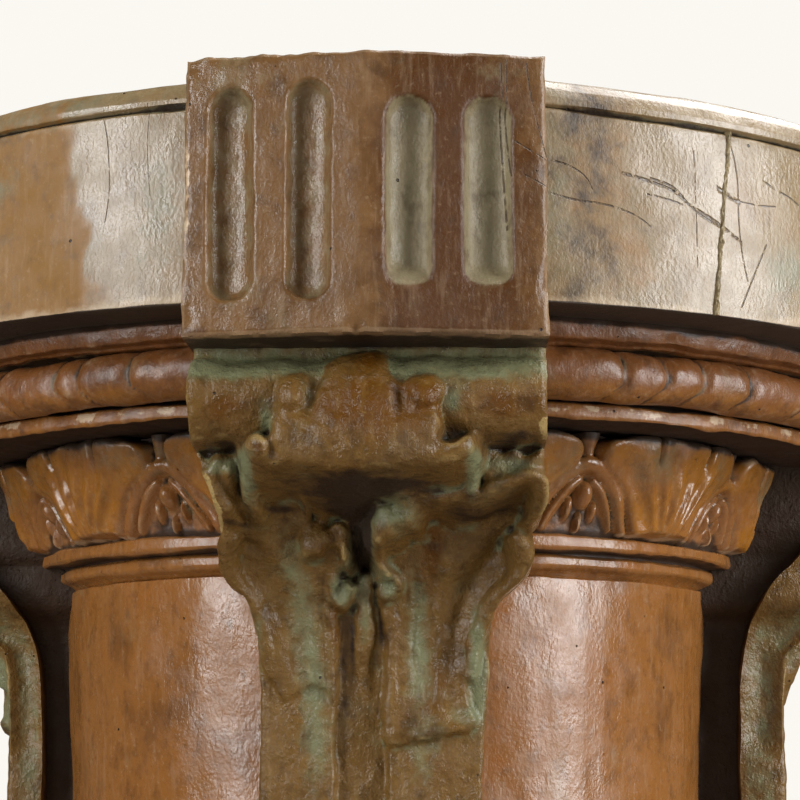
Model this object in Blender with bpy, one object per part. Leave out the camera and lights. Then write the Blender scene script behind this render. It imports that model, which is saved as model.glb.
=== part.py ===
"""Terracotta column: a round pedestal whose slab carries four fluted blocks on leaf brackets.

Metres, +Z up. The origin is the centre of the underside, and the front is -Y.
The column is cast in one piece, so it is one solid.
"""

import math

import bmesh
import bpy
from mathutils import Matrix

# Whole column. Every overhang is measured outwards from the shaft's face.
COLUMN_HEIGHT = 1.100
SHAFT_RADIUS = 0.102
TURNED_STEPS = 72
EMBED = 0.003

# Top slab
SLAB_HEIGHT = 0.0586
SLAB_OVERHANG = 0.0780
SLAB_CHAMFER = 0.0076

# Bead and carved torus under the slab
COVE_HEIGHT = 0.0020
COVE_OVERHANG = 0.0600
BEAD_HEIGHT = 0.0031
BEAD_OVERHANG = 0.0630
TORUS_GAP = 0.0012
TORUS_TUBE = 0.0068
TORUS_OVERHANG = 0.0535
TORUS_ARC_STEPS = 4
TORUS_ARC = math.radians(75)
TORUS_EGGS = 36
EGG_RISE = 0.0007
RING_FILLET_HEIGHT = 0.0028
RING_FILLET_OVERHANG = 0.0485

# Leaf frieze, a band between the ring fillet and the two small fillets
FRIEZE_HEIGHT = 0.0271
FRIEZE_GROUND_TOP = 0.0180
FRIEZE_GROUND_BOTTOM = 0.0085
FRIEZE_PERIODS = 12
FRIEZE_STEPS = 120
FRIEZE_ROWS = 6
LEAF_RISE = 0.0085
LEAF_HALF_ANGLE_BOTTOM = math.radians(5.5)
LEAF_HALF_ANGLE_TOP = math.radians(14.0)
LEAF_SPREAD_START = 0.15
LEAF_SPREAD_END = 0.75
LEAF_CREST_SHARE = 0.7
PALMETTE_RISE = 0.0062
PALMETTE_HALF_ANGLE = math.radians(8.0)
PALMETTE_SHARE = 0.62

# Small fillets and cavetto at the head of the shaft
UPPER_FILLET_HEIGHT = 0.0049
UPPER_FILLET_OVERHANG = 0.0108
LOWER_FILLET_HEIGHT = 0.0043
LOWER_FILLET_OVERHANG = 0.0054
CAVETTO_HEIGHT = 0.0055

# Fluted blocks on the slab, V-shaped on plan with the ridge at the middle
BLOCK_COUNT = 4
BLOCK_HALF_WIDTH = 0.0437
BLOCK_EDGE_OVERHANG = 0.0904
BLOCK_RIDGE_RISE = 0.0065
BLOCK_TOP_GAP = 0.0015
BLOCK_DROP = 0.0120
BLOCK_BACK_DEPTH = 0.0420
FLUTE_WIDTH = 0.0122
FLUTE_SINK = 0.0012
FLUTE_INNER_CENTRE = 0.0122
FLUTE_OUTER_CENTRE = 0.0312
FLUTE_MARGIN = 0.0085
FLUTE_STEPS = 10
FLUTE_END_STEPS = 3

# Leaf brackets under the blocks. Depths are measured down from the block's underside.
NECK_OVERHANG = 0.0755
ROLL_RADIUS = 0.0102
ROLL_OVERHANG = 0.0745
ROLL_DEPTH = 0.0130
ROLL_HALF_WIDTH = 0.0434
SWEEP_DEPTH = 0.0262
SWEEP_RISE = 0.0435
SWEEP_LENGTH = 0.0170
FOOT_OVERHANG = 0.0225
WING_HALF_WIDTH = 0.0425
WING_DEPTH = 0.0525
WING_FALL = 0.0130
FOOT_HALF_WIDTH = 0.0290
WEB_INSET = 0.0078
WEB_DEPTH = 0.0500
WEB_FALL = 0.0060
LIP_THICKNESS = 0.0140
BRACKET_LENGTH = 0.2650
PENDANT_LENGTH = 0.0300
PENDANT_HALF_WIDTH = 0.0120

# Acanthus on the bracket: a curled tip over the roll, two half leaves and a channel
TIP_HALF_WIDTH = 0.0262
TIP_TOP_HALF_WIDTH = 0.0150
TIP_RISE = 0.0062
TIP_DEPTH = 0.0335
TIP_LIP = 0.0020
TIP_SQUARENESS = 6
LEAF_BULGE = 0.0042
CREASE_DEPTH = 0.0060
CHANNEL_HALF_WIDTH = 0.0067
CHANNEL_DEPTH = 0.0040
CHANNEL_START = 0.0850
CHANNEL_EDGE_SHARE = 0.2
FACE_SHARES = (0.14, 0.36, 0.60, 0.82, 1.0)

# Shaft ring under the brackets
ASTRAGAL_TUBE = 0.0050
ASTRAGAL_GAP = 0.0120
ASTRAGAL_ARC_STEPS = 2

# Base, from the floor up
BASE_ARC = math.radians(70)
PLINTH_HEIGHT = 0.0450
PLINTH_OVERHANG = 0.0680
PLINTH_CHAMFER = 0.0040
BASE_TORUS_TUBE = 0.0140
BASE_TORUS_OVERHANG = 0.0440
BASE_TORUS_STEPS = 4
BASE_FILLET_HEIGHT = 0.0050
BASE_FILLET_OVERHANG = 0.0400
SCOTIA_HEIGHT = 0.0220
SCOTIA_HOLLOW = 0.0050
SCOTIA_STEPS = 3
NECK_FILLET_HEIGHT = 0.0040
NECK_FILLET_OVERHANG = 0.0190
NECK_TORUS_TUBE = 0.0065
NECK_TORUS_OVERHANG = 0.0090
NECK_TORUS_STEPS = 2
BASE_CAVETTO_HEIGHT = 0.0140
BASE_CAVETTO_OVERHANG = 0.0070

# Heights that follow from the sizes above
SLAB_BOTTOM = COLUMN_HEIGHT - SLAB_HEIGHT
BEAD_BOTTOM = SLAB_BOTTOM - COVE_HEIGHT - BEAD_HEIGHT
TORUS_CENTRE = BEAD_BOTTOM - TORUS_GAP - TORUS_TUBE
RING_FILLET_BOTTOM = TORUS_CENTRE - TORUS_TUBE - RING_FILLET_HEIGHT
FRIEZE_BOTTOM = RING_FILLET_BOTTOM - FRIEZE_HEIGHT
UPPER_FILLET_BOTTOM = FRIEZE_BOTTOM - UPPER_FILLET_HEIGHT
LOWER_FILLET_BOTTOM = UPPER_FILLET_BOTTOM - LOWER_FILLET_HEIGHT
BLOCK_BOTTOM = SLAB_BOTTOM - BLOCK_DROP
ASTRAGAL_CENTRE = BLOCK_BOTTOM - BRACKET_LENGTH - ASTRAGAL_GAP

# Terracotta under a bronze-brown varnish
CLAY_COLOUR = (0.235, 0.122, 0.064, 1.0)
CLAY_ROUGHNESS = 0.32


def smooth(low, high, value):
    """A share from 0 at low to 1 at high, with a soft start and end."""
    share = min(1.0, max(0.0, (value - low) / (high - low)))
    return share * share * (3.0 - 2.0 * share)


def blend(first, second, share):
    return first + (second - first) * share


def arc(radius, height, tube, start, end, steps):
    """Points along a round moulding, by angle from straight out."""
    angles = [blend(start, end, step / steps) for step in range(steps + 1)]
    return [(radius + tube * math.cos(a), height + tube * math.sin(a)) for a in angles]


def base_outline():
    """Plinth, torus, scotia, small torus and cavetto, as (overhang, height) from the floor."""
    torus_centre = PLINTH_HEIGHT + BASE_TORUS_TUBE
    fillet_low = torus_centre + BASE_TORUS_TUBE
    fillet_high = fillet_low + BASE_FILLET_HEIGHT
    scotia_high = fillet_high + SCOTIA_HEIGHT
    neck_high = scotia_high + NECK_FILLET_HEIGHT
    neck_torus = neck_high + NECK_TORUS_TUBE
    cavetto_low = neck_torus + NECK_TORUS_TUBE
    quarter = BASE_ARC
    points = [(PLINTH_OVERHANG, 0.0), (PLINTH_OVERHANG, PLINTH_HEIGHT - PLINTH_CHAMFER)]
    points += [(PLINTH_OVERHANG - PLINTH_CHAMFER, PLINTH_HEIGHT)]
    points += arc(BASE_TORUS_OVERHANG, torus_centre, BASE_TORUS_TUBE, -quarter, quarter, BASE_TORUS_STEPS)
    points += [(BASE_FILLET_OVERHANG, fillet_low), (BASE_FILLET_OVERHANG, fillet_high)]
    for step in range(1, SCOTIA_STEPS):
        share = step / SCOTIA_STEPS
        line = blend(BASE_FILLET_OVERHANG, NECK_FILLET_OVERHANG, share)
        hollow = SCOTIA_HOLLOW * math.sin(math.pi * share)
        points.append((line - hollow, blend(fillet_high, scotia_high, share)))
    points += [(NECK_FILLET_OVERHANG, scotia_high), (NECK_FILLET_OVERHANG, neck_high)]
    points += arc(NECK_TORUS_OVERHANG, neck_torus, NECK_TORUS_TUBE, -quarter, quarter, NECK_TORUS_STEPS)
    points += [(BASE_CAVETTO_OVERHANG, cavetto_low)]
    points += [(0.0, cavetto_low + BASE_CAVETTO_HEIGHT)]
    return points


def capital_outline():
    """Head of the shaft up to the slab, as (overhang, height) from the floor."""
    points = [(0.0, LOWER_FILLET_BOTTOM - CAVETTO_HEIGHT)]
    points += [(LOWER_FILLET_OVERHANG, LOWER_FILLET_BOTTOM)]
    points += [(LOWER_FILLET_OVERHANG, UPPER_FILLET_BOTTOM)]
    points += [(UPPER_FILLET_OVERHANG, UPPER_FILLET_BOTTOM)]
    points += [(UPPER_FILLET_OVERHANG, FRIEZE_BOTTOM)]
    points += [(FRIEZE_GROUND_BOTTOM, FRIEZE_BOTTOM)]
    points += [(FRIEZE_GROUND_BOTTOM, RING_FILLET_BOTTOM)]
    points += [(RING_FILLET_OVERHANG, RING_FILLET_BOTTOM)]
    points += [(RING_FILLET_OVERHANG, RING_FILLET_BOTTOM + RING_FILLET_HEIGHT)]
    points += arc(TORUS_OVERHANG, TORUS_CENTRE, TORUS_TUBE, -TORUS_ARC, TORUS_ARC, TORUS_ARC_STEPS)
    points += [(BEAD_OVERHANG, BEAD_BOTTOM), (BEAD_OVERHANG, BEAD_BOTTOM + BEAD_HEIGHT)]
    points += [(COVE_OVERHANG, SLAB_BOTTOM), (SLAB_OVERHANG, SLAB_BOTTOM)]
    points += [(SLAB_OVERHANG, COLUMN_HEIGHT - SLAB_CHAMFER)]
    points += [(SLAB_OVERHANG - SLAB_CHAMFER, COLUMN_HEIGHT)]
    return points


def turn(outline, steps):
    """Spins an outline of (radius, height) round the column's axis into a closed mesh."""
    mesh = bmesh.new()
    points = [mesh.verts.new((radius, 0.0, height)) for radius, height in outline]
    edges = [mesh.edges.new(pair) for pair in zip(points, points[1:])]
    bmesh.ops.spin(mesh, geom=points + edges, axis=(0, 0, 1), cent=(0, 0, 0),
                   angle=math.tau, steps=steps, use_merge=True)
    bmesh.ops.remove_doubles(mesh, verts=mesh.verts, dist=1e-6)
    bmesh.ops.recalc_face_normals(mesh, faces=mesh.faces)
    return mesh


def push_out(vertex, distance):
    """Moves a vertex straight away from the column's axis."""
    radius = math.hypot(vertex.co.x, vertex.co.y)
    vertex.co.x *= (radius + distance) / radius
    vertex.co.y *= (radius + distance) / radius


def azimuth(vertex):
    """Angle round the column, 0 at the front."""
    return math.atan2(vertex.co.x, -vertex.co.y)


def turned_core():
    """The whole column without its leaves, brackets and blocks."""
    astragal = arc(0.0, ASTRAGAL_CENTRE, ASTRAGAL_TUBE, -math.pi / 2, math.pi / 2, ASTRAGAL_ARC_STEPS)
    outline = base_outline() + astragal + capital_outline()
    outline = [(SHAFT_RADIUS + overhang, height) for overhang, height in outline]
    mesh = turn([(0.0, 0.0)] + outline + [(0.0, COLUMN_HEIGHT)], TURNED_STEPS)
    least_radius = SHAFT_RADIUS + TORUS_OVERHANG
    for vertex in mesh.verts:
        on_torus = abs(vertex.co.z - TORUS_CENTRE) < TORUS_TUBE
        if on_torus and math.hypot(vertex.co.x, vertex.co.y) > least_radius:
            push_out(vertex, -EGG_RISE * math.cos(TORUS_EGGS * azimuth(vertex)))
    return mesh


def leaf_relief(angle, share):
    """Height of the frieze's carving at an angle from a leaf's middle, and a share of its height."""
    spread = smooth(LEAF_SPREAD_START, LEAF_SPREAD_END, share)
    half = blend(LEAF_HALF_ANGLE_BOTTOM, LEAF_HALF_ANGLE_TOP, spread)
    leaf = LEAF_RISE * (1.0 - smooth(half * LEAF_CREST_SHARE, half, abs(angle)))
    from_palmette = math.pi / FRIEZE_PERIODS - abs(angle)
    arch = PALMETTE_HALF_ANGLE * math.sqrt(max(0.0, 1.0 - (share / PALMETTE_SHARE) ** 2))
    if from_palmette >= arch:
        return leaf
    return max(leaf, PALMETTE_RISE * (1.0 - (from_palmette / arch) ** 2))


def leaf_frieze():
    """A band of broad leaves, with a small palmette between each two."""
    low = FRIEZE_BOTTOM - EMBED / 2
    high = RING_FILLET_BOTTOM + EMBED / 2
    rows = [row / FRIEZE_ROWS for row in range(FRIEZE_ROWS + 1)]
    inner = SHAFT_RADIUS + FRIEZE_GROUND_BOTTOM - EMBED
    outline = [(inner, high), (inner, low)]
    for share in rows:
        ground = SHAFT_RADIUS + blend(FRIEZE_GROUND_BOTTOM, FRIEZE_GROUND_TOP, share)
        outline.append((ground, blend(low, high, share)))
    mesh = turn(outline + outline[:1], FRIEZE_STEPS)
    period = math.tau / FRIEZE_PERIODS
    for vertex in mesh.verts:
        if math.hypot(vertex.co.x, vertex.co.y) > inner + EMBED / 2:
            angle = azimuth(vertex) % period - period / 2
            push_out(vertex, leaf_relief(angle, (vertex.co.z - low) / (high - low)))
    return mesh


def bracket_overhang(depth):
    """How far the bracket's plain face stands out from the shaft, by depth below the block."""
    if depth < SWEEP_DEPTH:
        beside = abs(depth - ROLL_DEPTH)
        bulge = math.sqrt(ROLL_RADIUS ** 2 - beside ** 2) if beside < ROLL_RADIUS else 0.0
        neck = NECK_OVERHANG if depth < ROLL_DEPTH else FOOT_OVERHANG + SWEEP_RISE
        return max(neck, ROLL_OVERHANG + bulge)
    sweep = FOOT_OVERHANG + SWEEP_RISE * math.exp(-(depth - SWEEP_DEPTH) / SWEEP_LENGTH)
    pendant = smooth(BRACKET_LENGTH, BRACKET_LENGTH - PENDANT_LENGTH, depth)
    return blend(-EMBED, sweep, math.sqrt(pendant))


def bracket_half_width(depth):
    """Half the bracket's width, by depth below the block."""
    if depth < SWEEP_DEPTH:
        return ROLL_HALF_WIDTH
    foot = blend(PENDANT_HALF_WIDTH, FOOT_HALF_WIDTH,
                 smooth(BRACKET_LENGTH, BRACKET_LENGTH - PENDANT_LENGTH, depth))
    return blend(WING_HALF_WIDTH, foot, smooth(WING_DEPTH, WING_DEPTH + WING_FALL, depth))


def bracket_relief(side, depth):
    """Carving on the bracket's face at a distance to the side of its middle."""
    across = abs(side) / bracket_half_width(depth)
    tip_half = blend(TIP_TOP_HALF_WIDTH, TIP_HALF_WIDTH, smooth(0.0, ROLL_DEPTH, depth))
    tip_half *= math.sqrt(max(0.0, 1.0 - (depth / TIP_DEPTH) ** TIP_SQUARENESS))
    if 0.0 < depth < TIP_DEPTH and abs(side) < tip_half:
        front = ROLL_OVERHANG + ROLL_RADIUS + TIP_RISE * math.cos(side / tip_half)
        rise = front * smooth(0.0, ROLL_DEPTH / 2, depth)
        floor = bracket_overhang(depth)
        return max(0.0, rise - floor)
    if depth < SWEEP_DEPTH:
        return 0.0
    fade = smooth(CHANNEL_START, CHANNEL_START - WING_FALL, depth)
    bulge = LEAF_BULGE * math.sin(math.pi * min(1.0, across)) * fade
    crease = CREASE_DEPTH * (1.0 - smooth(0.0, CHANNEL_HALF_WIDTH, abs(side))) * fade
    from_channel = abs(side) / CHANNEL_HALF_WIDTH - 1.0
    channel = CHANNEL_DEPTH * smooth(CHANNEL_EDGE_SHARE, -CHANNEL_EDGE_SHARE, from_channel)
    ends = smooth(BRACKET_LENGTH, BRACKET_LENGTH - PENDANT_LENGTH, depth)
    return bulge - crease - channel * (1.0 - fade) * ends


def bracket_depths():
    """Depths of the bracket's sections, close together where its outline turns."""
    roll = [ROLL_DEPTH + ROLL_RADIUS * step for step in (-1.0, -0.7, 0.0, 0.7, 1.0)]
    head = [-BLOCK_DROP - EMBED, -EMBED] + roll
    tip = [SWEEP_DEPTH, TIP_DEPTH - TIP_LIP / 2, TIP_DEPTH + TIP_LIP]
    wings = [WING_DEPTH + WING_FALL * share for share in (-0.5, 0.0, 0.5, 1.0)]
    wings.append(CHANNEL_START)
    pendant_top = BRACKET_LENGTH - PENDANT_LENGTH
    pendant = [pendant_top + PENDANT_LENGTH * share for share in (0.0, 0.45, 0.8, 1.0)]
    return sorted(head + tip + wings + [blend(CHANNEL_START, pendant_top, 0.5)] + pendant)


def bracket_section(depth):
    """One level section of the bracket, as (side, distance from the axis), counter-clockwise."""
    half = bracket_half_width(depth)
    back = math.sqrt(SHAFT_RADIUS ** 2 - ROLL_HALF_WIDTH ** 2) - EMBED
    open_share = smooth(WEB_DEPTH, WEB_DEPTH + WEB_FALL, depth)
    open_share *= smooth(BRACKET_LENGTH, BRACKET_LENGTH - PENDANT_LENGTH, depth)
    slab_back = SHAFT_RADIUS + bracket_overhang(depth) - LIP_THICKNESS
    slab_back = blend(back + EMBED, max(back + EMBED, slab_back), open_share)
    web = half - WEB_INSET
    mirrored = [-share for share in reversed(FACE_SHARES)]
    face = []
    for share in mirrored + [0.0] + list(FACE_SHARES):
        side = half * share
        out = SHAFT_RADIUS + bracket_overhang(depth) + bracket_relief(side, depth)
        face.append((side, max(out, slab_back + EMBED)))
    left = [(-web, back), (-web, slab_back), (-half, slab_back)]
    right = [(half, slab_back), (web, slab_back), (web, back)]
    return left + face + right


def leaf_bracket():
    """One bracket, built at the front from level sections joined by faces."""
    mesh = bmesh.new()
    rings = []
    for depth in bracket_depths():
        height = BLOCK_BOTTOM - depth
        rings.append([mesh.verts.new((side, -out, height)) for side, out in bracket_section(depth)])
    for upper, lower in zip(rings, rings[1:]):
        for index in range(len(upper)):
            after = (index + 1) % len(upper)
            mesh.faces.new((upper[index], upper[after], lower[after], lower[index]))
    mesh.faces.new(rings[0])
    mesh.faces.new(rings[-1])
    bmesh.ops.triangulate(mesh, faces=mesh.faces)
    bmesh.ops.recalc_face_normals(mesh, faces=mesh.faces)
    return mesh


def fluted_block_plan():
    """The block's V-shaped plan as (side, distance from the axis)."""
    edge = SHAFT_RADIUS + BLOCK_EDGE_OVERHANG
    back = edge - BLOCK_BACK_DEPTH
    ridge = edge + BLOCK_RIDGE_RISE
    front = [(-BLOCK_HALF_WIDTH, edge), (0.0, ridge), (BLOCK_HALF_WIDTH, edge)]
    return front + [(BLOCK_HALF_WIDTH, back), (-BLOCK_HALF_WIDTH, back)]


def plain_block():
    """One block at the front, before its flutes are cut."""
    mesh = bmesh.new()
    ring = [mesh.verts.new((side, -out, BLOCK_BOTTOM)) for side, out in fluted_block_plan()]
    face = mesh.faces.new(ring)
    made = bmesh.ops.extrude_face_region(mesh, geom=[face])["geom"]
    raised = [item for item in made if isinstance(item, bmesh.types.BMVert)]
    height = COLUMN_HEIGHT - BLOCK_TOP_GAP - BLOCK_BOTTOM
    bmesh.ops.translate(mesh, verts=raised, vec=(0.0, 0.0, height))
    bmesh.ops.recalc_face_normals(mesh, faces=mesh.faces)
    return mesh


def flute(side):
    """A long tool with round ends, which cuts one flute of the front block."""
    tool = FLUTE_WIDTH / 2
    low = BLOCK_BOTTOM + FLUTE_MARGIN + tool
    high = COLUMN_HEIGHT - BLOCK_TOP_GAP - FLUTE_MARGIN - tool
    quarter = math.pi / 2
    outline = arc(0.0, low, tool, -quarter, 0.0, FLUTE_END_STEPS)
    outline += arc(0.0, high, tool, 0.0, quarter, FLUTE_END_STEPS)
    mesh = turn(outline, FLUTE_STEPS)
    edge = SHAFT_RADIUS + BLOCK_EDGE_OVERHANG
    face = edge + BLOCK_RIDGE_RISE * (1.0 - abs(side) / BLOCK_HALF_WIDTH)
    bmesh.ops.translate(mesh, verts=mesh.verts, vec=(side, -face - FLUTE_SINK, 0.0))
    return mesh


def clay():
    """The varnished terracotta, as a plain finish."""
    material = bpy.data.materials.new("varnished_terracotta")
    material.use_nodes = True
    shader = material.node_tree.nodes["Principled BSDF"]
    shader.inputs["Base Color"].default_value = CLAY_COLOUR
    shader.inputs["Roughness"].default_value = CLAY_ROUGHNESS
    shader.inputs["Metallic"].default_value = 0.0
    return material


def add_object(name, mesh, collection, material):
    """Turns a finished bmesh into a named object."""
    data = bpy.data.meshes.new(name)
    mesh.to_mesh(data)
    mesh.free()
    data.materials.append(material)
    made = bpy.data.objects.new(name, data)
    collection.objects.link(made)
    return made


def add_tool(name, mesh, collection, material, quarter_turn):
    """A hidden solid for a Boolean, turned round the column by quarters."""
    bmesh.ops.rotate(mesh, verts=mesh.verts, cent=(0, 0, 0),
                     matrix=Matrix.Rotation(quarter_turn * math.tau / BLOCK_COUNT, 3, "Z"))
    made = add_object(name, mesh, collection, material)
    made.hide_render = True
    made.display_type = "WIRE"
    return made


def join_tools(column, collection, operation):
    """Adds or cuts every tool in a collection."""
    boolean = column.modifiers.new(collection.name, "BOOLEAN")
    boolean.operand_type = "COLLECTION"
    boolean.collection = collection
    boolean.operation = operation
    boolean.solver = "EXACT"


def new_collection(name):
    made = bpy.data.collections.new(name)
    bpy.context.scene.collection.children.link(made)
    return made


def build_column():
    for old in list(bpy.data.objects):
        bpy.data.objects.remove(old)
    material = clay()
    column = add_object("column", turned_core(), bpy.context.scene.collection, material)
    carving = new_collection("carving")
    flutes = new_collection("flutes")
    add_tool("leaf_frieze", leaf_frieze(), carving, material, 0)
    for turn_number in range(BLOCK_COUNT):
        add_tool(f"bracket_{turn_number}", leaf_bracket(), carving, material, turn_number)
        add_tool(f"block_{turn_number}", plain_block(), carving, material, turn_number)
        for side in (-FLUTE_OUTER_CENTRE, -FLUTE_INNER_CENTRE, FLUTE_INNER_CENTRE, FLUTE_OUTER_CENTRE):
            add_tool(f"flute_{turn_number}", flute(side), flutes, material, turn_number)
    join_tools(column, carving, "UNION")
    join_tools(column, flutes, "DIFFERENCE")
    column.data.shade_smooth()
    column.data.set_sharp_from_angle(angle=math.radians(35))


build_column()
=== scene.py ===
"""A terracotta pedestal column with a carved head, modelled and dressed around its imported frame.

The solid in the frame gives the true sizes. Here each stretch of the casting is modelled again
with its fine carving: the slab, the fluted blocks, the carved torus, the leaf frieze, the leaf
brackets, the shaft and the base. Lengths are in millimetres until a mesh is filled.
"""

from __future__ import annotations

import logging
import math
from dataclasses import dataclass
from enum import Enum
from typing import Sequence

import bmesh
import bpy
import numpy as np
from mathutils import Matrix, Vector

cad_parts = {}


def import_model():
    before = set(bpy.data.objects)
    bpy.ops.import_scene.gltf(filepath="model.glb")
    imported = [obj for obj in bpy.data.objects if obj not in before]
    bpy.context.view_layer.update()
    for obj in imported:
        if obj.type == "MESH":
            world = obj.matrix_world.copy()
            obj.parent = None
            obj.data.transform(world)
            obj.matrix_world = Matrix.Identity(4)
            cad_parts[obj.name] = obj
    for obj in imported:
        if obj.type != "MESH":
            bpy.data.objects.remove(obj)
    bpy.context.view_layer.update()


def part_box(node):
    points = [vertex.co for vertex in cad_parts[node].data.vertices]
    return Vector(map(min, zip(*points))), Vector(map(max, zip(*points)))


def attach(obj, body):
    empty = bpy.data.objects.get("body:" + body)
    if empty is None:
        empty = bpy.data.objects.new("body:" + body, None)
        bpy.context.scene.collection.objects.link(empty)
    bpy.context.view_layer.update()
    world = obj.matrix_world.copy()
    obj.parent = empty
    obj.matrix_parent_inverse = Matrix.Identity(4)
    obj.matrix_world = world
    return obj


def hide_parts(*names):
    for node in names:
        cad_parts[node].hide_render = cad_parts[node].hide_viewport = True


LOG = logging.getLogger("column")
MM = 0.001
NODE = "column"
BODY = "root"

Array = np.ndarray
Point = tuple[float, ...]
Socket = bpy.types.NodeSocket


def ramp(low: float | Array, high: float | Array, value: float | Array) -> Array:
    """Rise softly from 0 at low to 1 at high; low may be the larger one.

    Args:
        low: Value where the rise starts.
        high: Value where it ends.
        value: Where to read it.

    Returns:
        The share from 0 to 1.
    """
    share = np.clip((np.asarray(value, float) - low) / (np.asarray(high, float) - low), 0.0, 1.0)
    return share * share * (3.0 - 2.0 * share)


def mix(first: float | Array, second: float | Array, share: float | Array) -> Array:
    """Go from first to second by a share."""
    return first + (second - first) * share


def along(points: Sequence[Point], value: float | Array) -> Array:
    """Read a smooth curve through a few (position, value) points, without overshooting them.

    Args:
        points: The curve's points, in order of position.
        value: Positions to read it at.

    Returns:
        The curve's values.
    """
    at, height = np.array(points, float).T
    slope = np.diff(height) / np.diff(at)
    bend = np.where(slope[1:] * slope[:-1] > 0, (slope[1:] + slope[:-1]) / 2, 0.0)
    tangent = np.concatenate([slope[:1], bend, slope[-1:]])
    value = np.clip(np.asarray(value, float), at[0], at[-1])
    low = np.clip(np.searchsorted(at, value) - 1, 0, len(at) - 2)
    width = at[low + 1] - at[low]
    share = (value - at[low]) / width
    rise = share * share * (3.0 - 2.0 * share)
    start = share * (1.0 - share) ** 2 * width * tangent[low]
    end = share * share * (share - 1.0) * width * tangent[low + 1]
    return mix(height[low], height[low + 1], rise) + start + end


def join(first: Array, second: Array, soft: float) -> Array:
    """Take the higher of two surfaces and fill the corner between them by soft millimetres."""
    near = np.clip(1.0 - np.abs(first - second) / soft, 0.0, 1.0)
    return np.maximum(first, second) + near * near * soft / 4


def waves(places: Array, length: float, seed: int, count: int = 9) -> Array:
    """Give a smooth uneven field, as a hand leaves in clay, by adding a few plane waves.

    Args:
        places: An array of points, in millimetres, with two or three values each.
        length: The waves' length, in millimetres.
        seed: Chooses their directions and phases.
        count: How many waves are added.

    Returns:
        The field at each point, mostly within -1 and 1.
    """
    chance = np.random.default_rng(seed)
    total = np.zeros(places.shape[:-1])
    for _ in range(count):
        direction = chance.normal(size=places.shape[-1])
        direction /= np.linalg.norm(direction)
        pitch = length * chance.uniform(0.6, 1.6)
        total += np.sin(places @ direction * (math.tau / pitch) + chance.uniform(0, math.tau))
    return total / math.sqrt(count)


class Relief(Enum):
    """How an oval of carving or stain rises: as a round dome, or fading softly all round."""

    DOME = "dome"
    SOFT = "soft"


@dataclass(frozen=True)
class Oval:
    """An oval of carving or stain on a face; a negative rise sinks it or keeps the stain off."""

    side: float
    depth: float
    half_width: float
    half_height: float
    rise: float = 1.0
    kind: Relief = Relief.SOFT

    def height(self, side: Array, depth: Array) -> Array:
        """Give the oval's height, or the stain's strength.

        Args:
            side: The points' distances to the side, or degrees round on the slab.
            depth: Their depths.

        Returns:
            The value at each point.
        """
        reach = np.hypot((side - self.side) / self.half_width, (depth - self.depth) / self.half_height)
        if self.kind is Relief.DOME:
            return self.rise * np.sqrt(np.clip(1.0 - reach * reach, 0.0, 1.0))
        return self.rise * np.exp(-reach * reach)


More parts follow.
